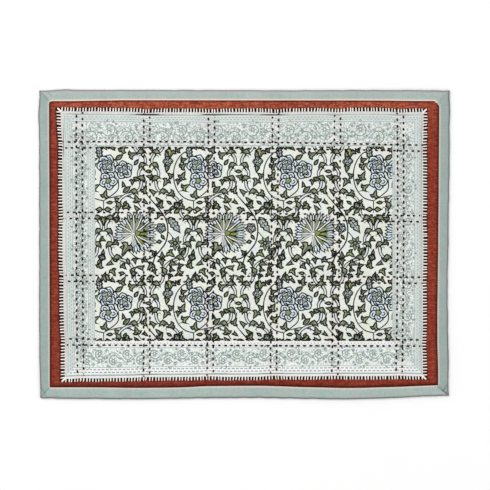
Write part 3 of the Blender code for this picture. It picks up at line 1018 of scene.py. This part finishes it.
# Inks: colour, and the least cover where the ink is thin
INKS = {
    "margin": ((214, 210, 207), 1.0), "aqua": ((207, 215, 212), 1.0),
    "scroll": ((234, 239, 236), 1.0), "clear_scroll": ((250, 253, 251), 1.0),
    "clear": ((246, 250, 248), 1.0), "field": ((226, 231, 222), 1.0),
    "dark": ((8, 12, 10), 0.98), "olive": ((140, 150, 119), 0.92),
    "shade": ((108, 115, 94), 0.92), "fresh": ((158, 172, 104), 0.92),
    "bright": ((128, 142, 66), 0.92),
    "blue": ((210, 224, 231), 0.9), "plume": ((180, 191, 184), 0.9),
    "cream": ((238, 240, 233), 0.9), "stem": ((214, 219, 219), 0.9),
    "grey": ((135, 150, 145), 0.85), "rule": ((164, 177, 172), 0.85),
    "moss": ((164, 180, 164), 0.85), "pale": ((216, 222, 219), 0.9),
}
LIGHT_INK = 180                      # an ink with every channel above this varies more
# The fine leaves in the scroll, the wide faint patches on light inks, and their tint beside the
# quilting
FOLIAGE = {"scroll": (160, 175, 170), "clear_scroll": (190, 205, 200)}
PATCHES = ((214, 226, 190), (206, 216, 230), (230, 221, 218))
STITCHED = (230, 216, 211)
TWIST_PITCH = 0.9                    # of a thread


def printed_cotton(ink, colour, cover):
    """The panel's cloth under one ink, which lets the cloth show where it is thin."""
    light = min(colour) > LIGHT_INK

    def edit(finish, cloth):
        thin = finish.noise(0.9, 3.0, 0.7, seed=15.0)
        cloth = finish.mixed(finish.ranged(thin, 0.25, 0.55, cover, 1.0), srgb(*CLOTH), cloth)
        if ink in FOLIAGE:
            tendrils = finish.noise(0.24, 1.0, 0.6, seed=17.0, distortion=0.8)
            off_line = finish.math("ABSOLUTE", finish.math("SUBTRACT", tendrils, 0.5))
            leaves = finish.noise(0.62, 0.5, 0.5, seed=19.0, distortion=0.9)
            foliage = finish.math("MAXIMUM", finish.ranged(off_line, 0.016, 0.036, 1.0, 0.0),
                                  finish.ranged(leaves, 0.55, 0.60))
            cloth = finish.tinted(cloth, (foliage, FOLIAGE[ink]))
        if not light:
            return cloth
        for number, tint in enumerate(PATCHES):
            patch = finish.noise(0.06, 2.0, 0.6, seed=20.0 + 3 * number)
            share = finish.ranged(patch, 0.5, 0.72, 0.0, 0.5 if ink == "field" else 0.2)
            cloth = finish.tinted(cloth, (share, tint))
        pink = finish.math("MULTIPLY", finish.field("stitched"), 0.30)
        return finish.tinted(cloth, (pink, STITCHED))

    spread = 20 if light else 8
    pale = [min(255, channel + spread) for channel in colour]
    deep = [max(0, channel - spread) for channel in colour]
    return cotton("print_" + ink, pale, deep, edit, pitch=0.45, blotch=0.8 if light else 0.0)


def thread(name, colour, dark_share=0.88):
    """Twisted cotton thread; `dark_share` is how dark its hollows are."""
    finish = Finish(name)
    grain = finish.noise(3.0)
    slant = finish.math("ADD", *finish.axes())
    twist = finish.math("SINE", finish.math("MULTIPLY", slant, TAU / TWIST_PITCH))
    dark = [channel * dark_share for channel in colour]
    tone = finish.mixed(finish.ranged(grain, 0.3, 0.7), srgb(*dark), srgb(*colour))
    finish.bump(finish.math("ADD", twist, grain), 0.08, 0.8)
    return finish.finish(tone, finish.ranged(grain, 0.3, 0.7, 0.7, 0.9), sheen=0.1)


# --- the printed panel
RELIEF_STEP = 5.0                    # between the corners of its open parts
RELIEF_ROWS = (-1.6, 0.0, 1.6)       # rows of corners beside each line of stitches
ROW_STEP = 2.7
EDGE_ROWS = (0.0, 0.35, 0.9, 1.8)    # rows of corners along the panel's edge, from the edge in
EDGE_STEP = 3.5
UNDERSIDE_REACH, UNDERSIDE_STEP = (200.0, 140.0), 10.0
STITCHED_REACH = 2.6                 # how far the quilting tints the cloth


def evenly(half, step, skip=0):
    """Places about `step` apart from -half to half, less `skip` of them at each end."""
    count = round(2 * half / step)
    return [-half + 2 * half * k / count for k in range(skip, count + 1 - skip)]


def relief_points(half):
    """Corners that the panel needs for its relief, in its plain rectangle."""
    points = [(x, y) for x in evenly(half[0], RELIEF_STEP, 1)
              for y in evenly(half[1], RELIEF_STEP, 1)]
    for line in QUILT_LINES:
        for offset in RELIEF_ROWS:
            for along in evenly(half[1] if line.upright else half[0], ROW_STEP, 1):
                across = line_centre(line, along) + offset
                points.append((across, along) if line.upright else (along, across))
    for inset in EDGE_ROWS:
        x_end, y_end = half[0] - inset, half[1] - inset
        for x in evenly(x_end, EDGE_STEP):
            points += [(x, -y_end), (x, y_end)]
        for y in evenly(y_end, EDGE_STEP, 1):
            points += [(-x_end, y), (x_end, y)]
    return points


def winding(points, x, y):
    """How many times an outline runs round each of the places."""
    turns = np.zeros(len(x), int)
    for (ax, ay), (bx, by) in zip(points, points[1:] + points[:1]):
        left = (bx - ax) * (y - ay) - (x - ax) * (by - ay)
        turns += (ay <= y) & (by > y) & (left > 0)
        turns -= (ay > y) & (by <= y) & (left < 0)
    return turns


def top_marks(marks, x, y):
    """The number of the topmost mark over each place."""
    order = np.argsort(x)
    x, y = x[order], y[order]
    top = np.zeros(len(x), int)
    for number, (_, points) in enumerate(marks):
        low, high = np.min(points, axis=0), np.max(points, axis=0)
        span = slice(np.searchsorted(x, low[0]), np.searchsorted(x, high[0]))
        near = span.start + np.flatnonzero((y[span] >= low[1]) & (y[span] <= high[1]))
        hit = near[winding(points, x[near], y[near]) != 0]
        top[hit] = number
    found = np.empty(len(x), int)
    found[order] = top
    return found


def printed_panel():
    """The panel, its upper face cut along the print's outlines, its lower one plain."""
    marks = print_marks()
    points, edges = [], []
    for _, outline in marks:
        first = len(points)
        points += outline
        edges += [(first + k, first + (k + 1) % len(outline)) for k in range(len(outline))]
    corners, triangles = triangulated(points + relief_points(PANEL_HALF), edges)
    names = list(INKS)
    mark_ink = np.array([names.index(ink) for ink, _ in marks])
    inks = mark_ink[top_marks(marks, *corners[triangles].mean(axis=1).T)]

    rim = rim_edges(triangles)
    rim_corners = sorted({a for a, _ in rim})
    inner = [(x, y) for x in evenly(UNDERSIDE_REACH[0], UNDERSIDE_STEP)
             for y in evenly(UNDERSIDE_REACH[1], UNDERSIDE_STEP)]
    low_corners, low_triangles = triangulated([tuple(corners[a]) for a in rim_corners] + inner)
    where = {tuple(np.round(p, 3)): k for k, p in enumerate(low_corners)}
    twin = {a: where[tuple(np.round(corners[a], 3))] + len(corners) for a in rim_corners}

    x, y = panel_plan(*corners.T)
    low_x, low_y = panel_plan(*low_corners.T)
    top = stacked(x, y, panel_height(x, y))
    bottom = stacked(low_x, low_y, np.full(len(low_x), PANEL_BOTTOM))
    faces = (triangles.tolist() + (low_triangles[:, ::-1] + len(corners)).tolist()
             + [(b, a, twin[a], twin[b]) for a, b in rim])
    face_inks = inks.tolist() + [names.index("margin")] * (len(low_triangles) + len(rim))
    stitched = np.concatenate([quilt_shape(x, y, STITCHED_REACH)[1], np.zeros(len(bottom))])
    normals = np.concatenate([slope_normals(panel_height, x, y),
                              np.tile((0.0, 0.0, -1.0), (len(bottom), 1))])
    materials = [printed_cotton(ink, *INKS[ink]) for ink in names]
    piece = make_piece("panel_cloth", np.concatenate([top, bottom]), faces, materials,
                       face_inks, {"stitched": stitched}, normals)
    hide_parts("printed_panel")
    return piece


# --- the rust ground
GROUND_HALF = (237.3, 177.9)
GROUND_BAND = 28.0                   # the fine part of its grid, from the edge in
GROUND_FINE, GROUND_COARSE = 1.3, 3.0
GROUND_EASE = 20.0                   # how far in its grid gives way to its uneven edge
# Per side: how far the light is off the rust cloth, how far the binding shades it, and how far
# past the overcast stitches their shade reaches
GROUND_DIM = by_side(0.0, 0.56, 0.47, 0.48)
FOLD_SHADE_REACH = by_side(1.3, 3.0, 2.0, 2.1)
TEETH_SHADE_REACH = by_side(0.5, 0.4, 1.5, 0.8)
FOLD_SHADE = 0.94
TEETH_SHADE_BLUR = 0.9
DIM_BLEND = 12                       # over this the dimness of one side passes into the next's


def ground_places(half):
    fine = np.linspace(half - GROUND_BAND, half, round(GROUND_BAND / GROUND_FINE) + 1)
    middle = half - GROUND_BAND
    coarse = np.linspace(-middle, middle, round(2 * middle / GROUND_COARSE) + 1)
    return np.concatenate([-fine[::-1][:-1], coarse, fine[1:]])


def ground_fields(x, y):
    """The shade between the stitches and beside the binding, and the dimness of each side."""
    teeth = np.min([inside_one(PANEL, side, x, y) + TOOTH_REACH[side] + TEETH_SHADE_REACH[side]
                    for side in SIDES], axis=0)
    fold = np.max([falloff(np.maximum(inside_one(FOLD, side, x, y), 0), FOLD_SHADE_REACH[side])
                   for side in SIDES], axis=0)
    gaps = np.stack([inside_one(OUTER, side, x, y) for side in SIDES])
    weights = np.exp(-np.maximum(gaps, 0) / DIM_BLEND)
    dims = np.array([[GROUND_DIM[side]] for side in SIDES])
    return (np.maximum(clamped(teeth / TEETH_SHADE_BLUR), FOLD_SHADE * fold),
            (weights * dims).sum(axis=0) / weights.sum(axis=0))


def rust_ground():
    xs, ys = (ground_places(half) for half in GROUND_HALF)
    grid_x, grid_y = (grid.ravel() for grid in np.meshgrid(xs, ys, indexing="ij"))
    x, y = fitted(grid_x, grid_y, GROUND_HALF, GROUND, GROUND_EASE)
    top, bottom = stacked(x, y, ground_height(x, y)), stacked(x, y, underside_height(x, y))
    layer = len(x)
    grid = np.arange(layer).reshape(len(xs), len(ys))
    quads = np.stack([grid[:-1, :-1], grid[1:, :-1], grid[1:, 1:], grid[:-1, 1:]], axis=-1)
    faces = []
    for quad in quads.reshape(-1, 4).tolist():
        faces += [tuple(quad), tuple(corner + layer for corner in quad[::-1])]
    loop = np.concatenate([grid[:, 0], grid[-1, 1:], grid[-2::-1, -1], grid[0, -2:0:-1]]).tolist()
    faces += [(b, a, a + layer, b + layer) for a, b in zip(loop, loop[1:] + loop[:1])]
    shade, dim = ground_fields(x, y)
    fields = {"shade": np.concatenate([shade, np.zeros(layer)]), "dim": np.tile(dim, 2)}
    piece = make_piece("ground_cloth", np.concatenate([top, bottom]), faces, [rust_cotton()],
                       fields=fields)
    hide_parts("rust_ground")
    return piece


# --- the binding
BINDING_STEP = 1.4
LEAF_STEP = 1.1
BACK_LEAF_WIDTH = 12.1
MITRE_GAP = 0.06
MITRE_ROUND, MITRE_DROP = 1.3, 0.30
TOPSTITCH_INSET = 1.2                # from the inner fold
FAR_FROM_MITRES = 99.0
LEAF_CROWN = 0.30                    # how far the upper leaf rises between its folds
SEAM_DEPTH, SEAM_REACH = 0.34, 0.8   # the groove along the topstitch
# Rounding of the inner corners
CORNER_RADII = {frozenset(("left", "far")): 3.0, frozenset(("right", "far")): 7.0,
                frozenset(("right", "near")): 0.6, frozenset(("left", "near")): 1.0}
ARC_MIDDLE = 0.293                   # share of the radius between an arc's middle and its corner
# Creases pressed into the binding, whose depth also paints shade into its colour: one end, the
# other end (x, y), depth
CREASES = [((241.5, -158.5), (232.5, -172.0), 0.80), ((240.5, -166.0), (236.0, -176.0), 0.60),
           ((226.0, -166.5), (239.0, -176.5), 0.60), ((-238.0, 178.0), (-229.0, 169.5), 0.30),
           ((-232.0, 181.0), (-224.0, 172.0), 0.30), ((-240.5, -160.0), (-230.0, -179.5), 0.55),
           ((-241.0, -168.0), (-236.0, -181.0), 0.50), ((-226.0, -180.0), (-214.0, -178.0), 0.40),
           ((236.0, 181.0), (231.0, 172.0), 0.20)]
CREASE_REACH = 0.8
EDGE_WAVER, WAVER_LENGTH = 0.25, 9   # of the outer edge
# Tones of the binding, partly painted light: reach from the inner fold, or from the outer one, and
# strength by side
FOLD_HIGHLIGHT_REACH, FOLD_HIGHLIGHT = 1.5, by_side(1.0, 0.55, 0.62, 0.62)     # painted highlight along the inner fold
BRIM_REACH, BRIM = 4.2, by_side(1.0, 0.25, 0.35, 0.5)                # greyer towards the outside
OUTER_FOLD_SHADE_REACH, OUTER_FOLD_SHADE = 1.35, by_side(0.80, 1.0, 0.95, 1.0)               # painted shade along the outer fold
# Painted shade: the binding's left and right sides darker, as if less lit
BINDING_DIM = by_side(0.0, 0.0, 0.28, 0.30)


def arc(inset, height, radius, angles):
    return [(inset + radius * math.cos(a), height + radius * math.sin(a)) for a in angles]


def binding_section():
    """(inset, height) round the folded strip, from the upper leaf's edge out and back."""
    radius = BINDING_TOP / 2
    end = BINDING_CLOTH / 2
    turns = [math.pi * step / 12 for step in range(13)]
    quarters = [math.pi * step / 4 for step in (-2, -1, 0, 1)]
    edge = BINDING_WIDTH - end
    count = round((edge - radius) / LEAF_STEP)
    upper = [(edge - (edge - radius) * k / count, BINDING_TOP) for k in range(count)]
    outer = [(radius - radius * math.sin(a), radius + radius * math.cos(a)) for a in turns]
    back_edge = BACK_LEAF_WIDTH - end
    back = [(radius + (back_edge - radius) * k / 5, 0.0) for k in range(1, 6)]
    inner_radius = radius - BINDING_CLOTH
    inner = [(radius - inner_radius * math.sin(a), radius + inner_radius * math.cos(a))
             for a in turns[::-2]]
    return (arc(edge, BINDING_TOP - end, end, quarters) + upper + outer + back
            + arc(back_edge, end, end, [a + math.pi / 4 for a in quarters]) + inner)


def binding_plan(side, inset, step):
    """(along, out) of the binding at an inset, `step` going from 0 to 1 between mitres."""
    ends = []
    for line in (OUTER, FOLD):
        low, high = side_ends(line, side, MITRE_GAP, OUTER)
        along = low + (high - low) * step
        ends.append((along, line[side](along)))
    share = inset / BINDING_WIDTH
    (along_a, out_a), (along_b, out_b) = ends
    return along_a + (along_b - along_a) * share, out_a + (out_b - out_a) * share


def corner_fill(side, along):
    """How much wider the upper leaf is where the binding's inner corner is rounded."""
    fill = np.zeros_like(along)
    corner = outward(side) * FOLD[side](0.0)
    for end in NEIGHBOURS[side]:
        radius = CORNER_RADII[frozenset((side, end))]
        gap = np.clip(FOLD[end](corner) - along * outward(end), ARC_MIDDLE * radius, radius)
        fill = np.maximum(fill, radius - np.sqrt(np.maximum(radius ** 2 - (radius - gap) ** 2, 0)))
    return fill


def crease_depth(x, y):
    total = 0
    for start, end, depth in CREASES:
        start, run = np.array(start), np.array(end) - np.array(start)
        share = np.clip(((x - start[0]) * run[0] + (y - start[1]) * run[1]) / (run @ run), 0, 1)
        off = np.hypot(x - start[0] - run[0] * share, y - start[1] - run[1] * share)
        total = total + depth * falloff(off, CREASE_REACH)
    return total


def leaf_relief(x, y, inset, from_mitre):
    """How far the upper leaf stands above its flat height."""
    crown = LEAF_CROWN * np.sin(np.pi * clamped((inset - 1.0) / (BINDING_WIDTH - 3.0)))
    groove = SEAM_DEPTH * falloff(BINDING_WIDTH - TOPSTITCH_INSET - inset, SEAM_REACH)
    drop = MITRE_DROP * clamped(1 - from_mitre / MITRE_ROUND) ** 2
    return crown - groove + uneven(0, LEAF_WAVES, x, y) - drop - crease_depth(x, y)


def binding(side, material):
    section = np.array(binding_section())
    span = sum(OUTER[end](0.0) for end in NEIGHBOURS[side])
    stations = round(span / BINDING_STEP)
    steps = np.linspace(0, 1, stations + 1)
    step, inset = (grid.ravel() for grid in np.meshgrid(steps, section[:, 0], indexing="ij"))
    height = np.tile(section[:, 1], len(steps))
    on_leaf = height > LEAF_EDGE_Z - 0.6
    stretch = 1 + on_leaf * corner_fill(side, binding_plan(side, inset, step)[0]) / BINDING_WIDTH
    along, out = binding_plan(side, inset * stretch, step)
    waver = EDGE_WAVER * drift(along / WAVER_LENGTH, np.full_like(along, 7.0 * SIDES.index(side)))
    x, y = side_point(side, along, out + waver * clamped(1 - inset / BINDING_WIDTH))
    lift = leaf_relief(x, y, inset, np.minimum(step, 1 - step) * span)
    share = clamped((height - FOLD_MIDDLE_Z) / (BINDING_TOP - FOLD_MIDDLE_Z))
    z = height + lift * share * np.where(height > LEAF_EDGE_Z - 0.4, 1.0, share)
    # Painted light: a highlight along the inner fold, shade along the outer fold and in the
    # creases, and shade on the left and right sides
    fields = {
        "fold_highlight": (falloff(BINDING_WIDTH - inset, FOLD_HIGHLIGHT_REACH)
                      * (height > LEAF_EDGE_Z - 0.1) * FOLD_HIGHLIGHT[side]),
        "brim": falloff(inset, BRIM_REACH) * BRIM[side],
        "outer_fold_and_crease_shade": np.maximum(falloff(inset, OUTER_FOLD_SHADE_REACH) * OUTER_FOLD_SHADE[side], 0.75 * crease_depth(x, y)),
        "dim": np.full(len(x), BINDING_DIM[side])}
    size = len(section)
    faces = [(i * size + j, i * size + (j + 1) % size,
              (i + 1) * size + (j + 1) % size, (i + 1) * size + j)
             for i in range(stations) for j in range(size)]
    faces.append(tuple(range(size))[::-1])
    faces.append(tuple(range(stations * size, (stations + 1) * size)))
    if runs_along_x(side) == (outward(side) > 0):        # the section runs the other way round
        faces = [face[::-1] for face in faces]
    piece = make_piece("binding_cloth_" + side, stacked(x, y, z), faces, [material], fields=fields)
    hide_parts("binding_" + side)
    return piece


# --- threads
Stitch = namedtuple("Stitch", "length width thickness")
QUILT_STITCH, BACK_STITCH = Stitch(4.0, 2.2, 0.6), Stitch(3.2, 1.1, 0.4)
TOPSTITCH, TOPSTITCH_PITCH = Stitch(2.1, 0.95, 0.5), 2.9
# An overcast stitch reaches out from the panel's edge, and starts inside it
TOOTH_REACH = by_side(4.55, 4.3, 4.9, 4.8)
TOOTH_INSIDE, TOOTH_PITCH = 1.1, 3.5
TOOTH_WIDTH, TOOTH_THICKNESS = 1.45, 0.75
TOOTH_LANDING = 0.6                  # how far inside the edge the panel's height is taken
TEETH_END, TOPSTITCH_END = 1.6, 2.2      # from the corners to the first stitch
# The slanting stitch over each of the panel's corners, near which its edges are read
CORNER_STITCH = Stitch(4.6, 2.2, 1.0)
CORNER_INSIDE, CORNER_TOP, CORNER_FALL, CORNER_ARCH = 0.8, 3.55, 0.75, 0.3
CORNER_X, CORNER_Y = 205, 150
# A quilting stitch's unevenness: along and across its line, in direction, and in length
QUILT_JITTER, QUILT_LENGTHS = (0.35, 0.18, 0.14), (0.82, 1.12)
# A thread above its cloth, and how far its ends dip: on the panel, and under the ground
PANEL_LAY, BACK_LAY = (0.22, 0.3), (-0.12, -0.2)
# The same on the binding, and how uneven the topstitch's places are
TOPSTITCH_LAY, TOPSTITCH_JITTER = (0.12, 0.2), 0.12
# An overcast stitch's unevenness: in place, slant, reach and width
TOOTH_JITTER, TOOTH_SLANT, TOOTH_REACHES, TOOTH_WIDTHS = 0.35, 0.45, (-0.35, 0.3), (0.85, 1.15)
SLANT_DRIFT, DRIFT_LENGTH = 0.5, 40  # a slow change of the slant along a side
# Its height above the panel and above the rust cloth, and how far its two ends sink into them
TOOTH_LIFTS, TOOTH_SINKS = (0.30, 0.36), (0.35, 0.32)


class Threads:
    """Many short stitches, gathered into one mesh."""

    def __init__(self, sides=6):
        self.corners, self.faces, self.sides = [], [], sides

    def add(self, path, width, thickness):
        """A stitch along a path, oval across and drawn in at both ends."""
        path = np.asarray(path, float)
        tangents = np.gradient(path, axis=0)
        tangents /= np.linalg.norm(tangents, axis=1)[:, None]
        side = np.cross(tangents, (0.0, 0.0, 1.0))
        side /= np.linalg.norm(side, axis=1)[:, None]
        up = np.cross(side, tangents)
        size = np.sqrt(1 - 0.86 * np.linspace(-1, 1, len(path)) ** 6)
        first, n = len(self.corners), self.sides
        for point, across, rise, grow in zip(path, side, up, size):
            for k in range(n):
                a = TAU * (k + 0.5) / n
                out, lift = (math.copysign(abs(f(a)) ** 0.7, f(a)) for f in (math.cos, math.sin))
                self.corners.append(point + across * out * width / 2 * grow
                                    + rise * lift * thickness / 2 * grow)
        for i in range(len(path) - 1):
            for k in range(n):
                a, b = first + i * n + k, first + i * n + (k + 1) % n
                self.faces.append((a, b, b + n, a + n))
        self.faces.append(tuple(range(first, first + n))[::-1])
        last = first + (len(path) - 1) * n
        self.faces.append(tuple(range(last, last + n)))

    def piece(self, name, material):
        return make_piece(name, self.corners, self.faces, [material])


def laid_path(x, y, dx, dy, length, surface, lift, dip):
    """A stitch's path over a surface: from its middle, along (dx, dy), with its ends dipping."""
    share = np.linspace(-1, 1, 5)
    px, py = x + dx * length / 2 * share, y + dy * length / 2 * share
    return stacked(px, py, surface(px, py) + lift - dip * share ** 4)


def quilting_threads(material):
    """Stitches on the panel, and between them the smaller ones that show below."""
    chance = random.Random(21)
    threads = Threads()
    for line in QUILT_LINES:
        low, high = ("near", "far") if line.upright else ("left", "right")
        turn = 1 if line.upright else -1                 # to (x, y) from (across, along)
        middle = line_centre(line, 0.0)
        start, end = -PANEL[low](middle), PANEL[high](middle)
        first = math.ceil((start + 1.0 - line.phase) / STITCH_PITCH)
        last = math.floor((end - 1.0 - line.phase) / STITCH_PITCH)
        for k in range(first, last + 1):
            ahead, aside, yaw = (chance.uniform(-most, most) for most in QUILT_JITTER)
            along = line.phase + k * STITCH_PITCH + ahead
            across = line_centre(line, along) + aside
            size = QUILT_STITCH.length * chance.uniform(*QUILT_LENGTHS)
            run = (math.sin(yaw), math.cos(yaw))[::turn]
            threads.add(laid_path(*(across, along)[::turn], *run, size, panel_height, *PANEL_LAY),
                        QUILT_STITCH.width, QUILT_STITCH.thickness)
            along += STITCH_PITCH / 2
            back = laid_path(*(line_centre(line, along), along)[::turn], *run, BACK_STITCH.length,
                             underside_height, *BACK_LAY)
            back[:, 2] = np.maximum(back[:, 2], BACK_STITCH.thickness / 2 + 0.02)
            threads.add(back, BACK_STITCH.width, BACK_STITCH.thickness)
    return threads.piece("quilting_thread", material)


def tooth_path(side, along, slant, reach):
    """An overcast stitch: up through the panel, over its edge and down into the rust cloth."""
    shares = np.linspace(0, 1, 8)
    edge = PANEL[side](along)
    out = edge - TOOTH_INSIDE + (TOOTH_INSIDE + reach) * shares
    x, y = side_point(side, along + slant * shares, out)
    landing = side_point(side, np.array([along]), np.array([edge - TOOTH_LANDING]))
    high = panel_height(*landing)[0] + TOOTH_LIFTS[0]
    low = ground_height(x, y) + TOOTH_LIFTS[1]
    ease = eased(clamped((shares - 0.15) / 0.4))
    z = high * (1 - ease) + low * ease
    starts, ends = clamped(1 - shares / 0.12), clamped((shares - 0.88) / 0.12)
    return stacked(x, y, z - TOOTH_SINKS[0] * starts - TOOTH_SINKS[1] * ends)


def stitch_places(edges, side, inset, pitch, jitter, chance):
    """Places along a side, evenly apart between its corners but for a little jitter."""
    low, high = side_ends(edges, side, inset)
    count = round((high - low) / pitch)
    for k in range(count + 1):
        yield low + (high - low) * k / count + chance.uniform(-jitter, jitter)


def overcast_threads(material):
    chance = random.Random(34)
    threads = Threads(8)
    for side in SIDES:
        for along in stitch_places(PANEL, side, TEETH_END, TOOTH_PITCH, TOOTH_JITTER, chance):
            slant = (chance.uniform(-TOOTH_SLANT, TOOTH_SLANT)
                     + SLANT_DRIFT * drift(along / DRIFT_LENGTH, 3.0 + SIDES.index(side)))
            reach = TOOTH_REACH[side] + chance.uniform(*TOOTH_REACHES)
            threads.add(tooth_path(side, along, slant, reach),
                        TOOTH_WIDTH * chance.uniform(*TOOTH_WIDTHS), TOOTH_THICKNESS)
    shares = np.linspace(0, 1, 8)
    reach = CORNER_STITCH.length * shares
    z = CORNER_TOP - CORNER_FALL * shares + CORNER_ARCH * np.sin(np.pi * shares)
    for x_side, y_side in (("left", "far"), ("right", "far"), ("right", "near"), ("left", "near")):
        sx, sy = outward(x_side), outward(y_side)
        x = sx * (PANEL[x_side](sy * CORNER_Y) - CORNER_INSIDE) + sx * reach
        y = sy * (PANEL[y_side](sx * CORNER_X) - CORNER_INSIDE) + sy * reach
        threads.add(stacked(x, y, z), CORNER_STITCH.width, CORNER_STITCH.thickness)
    return threads.piece("overcast_thread", material)


def leaf_point(side, inset, along):
    """A point on the binding's upper leaf, by its place along the side."""
    outer, fold = OUTER[side](along), FOLD[side](along)
    x, y = side_point(side, along, outer + (fold - outer) * inset / BINDING_WIDTH)
    return x, y, BINDING_TOP + leaf_relief(x, y, inset, FAR_FROM_MITRES)


def topstitch_threads(material):
    chance = random.Random(55)
    threads = Threads()
    share = np.linspace(-1, 1, 5)
    lift, dip = TOPSTITCH_LAY
    for side in SIDES:
        for along in stitch_places(FOLD, side, TOPSTITCH_END, TOPSTITCH_PITCH, TOPSTITCH_JITTER,
                                   chance):
            path = np.array([leaf_point(side, BINDING_WIDTH - TOPSTITCH_INSET, place)
                             for place in along + TOPSTITCH.length / 2 * share])
            path[:, 2] += lift - dip * share ** 4
            threads.add(path, TOPSTITCH.width, TOPSTITCH.thickness)
    return threads.piece("binding_topstitch", material)


# --- camera, light and floor
PIXEL = 1.167                        # millimetres of the mat a pixel of the photograph
VIEW_PIXELS = 490
VIEW_CENTRE = (1.5, -1.43)
LENS, SENSOR = 100.0, 36.0
FLOOR_REACH, FLOOR_LEVEL = 3.0, -0.05 * MM       # metres
FLOOR_TONES = ((251, 251, 251), (254, 254, 254))
WORLD_STRENGTH = 0.62
# Soft lights: name, place in metres, diameter, power
LIGHTS = [("key", (-0.7, 0.8, 1.5), 0.9, 13.2), ("fill", (0.9, -0.9, 1.6), 1.4, 8.2)]


def camera():
    data = bpy.data.cameras.new("camera")
    data.lens, data.sensor_width, data.clip_end = LENS, SENSOR, 20.0
    eye = add_object("camera", data)
    height = VIEW_PIXELS * PIXEL * LENS / SENSOR + PANEL_TOP
    eye.location = (VIEW_CENTRE[0] * MM, VIEW_CENTRE[1] * MM, height * MM)
    bpy.context.scene.camera = eye


def studio():
    mesh = bpy.data.meshes.new("floor")
    mesh.from_pydata([(x, y, FLOOR_LEVEL) for x, y in rectangle(FLOOR_REACH, FLOOR_REACH)],
                     [], [(0, 1, 2, 3)])
    floor = add_object("floor", mesh)
    finish = Finish("pale_floor")
    tone = finish.mixed(finish.noise(0.004, 1.0), *(srgb(*tone) for tone in FLOOR_TONES))
    mesh.materials.append(finish.finish(tone, 0.9))
    world = bpy.data.worlds.new("studio")
    world.use_nodes = True
    background = world.node_tree.nodes["Background"]
    background.inputs["Color"].default_value = (1.0, 1.0, 1.0, 1.0)
    background.inputs["Strength"].default_value = WORLD_STRENGTH
    bpy.context.scene.world = world
    bpy.context.scene.view_settings.view_transform = "Standard"
    for name, place, size, power in LIGHTS:
        data = bpy.data.lights.new(name, "AREA")
        data.shape, data.size, data.energy = "DISK", size, power
        lamp = add_object(name, data)
        lamp.location = place
        lamp.rotation_mode = "QUATERNION"
        lamp.rotation_quaternion = Vector(place).to_track_quat("Z", "Y")


# --- assembly
camera()
studio()
panel = printed_panel()
ground = rust_ground()
sage = sage_cotton()
bindings = {side: binding(side, sage) for side in SIDES}
quilting = quilting_threads(thread("maroon_thread", (14, 5, 5)))
overcast = overcast_threads(thread("white_thread", (255, 250, 242), 0.97))
topstitch = topstitch_threads(thread("cream_thread", (252, 232, 220)))
for side, piece in bindings.items():
    length = 0.480 if runs_along_x(side) else 0.361
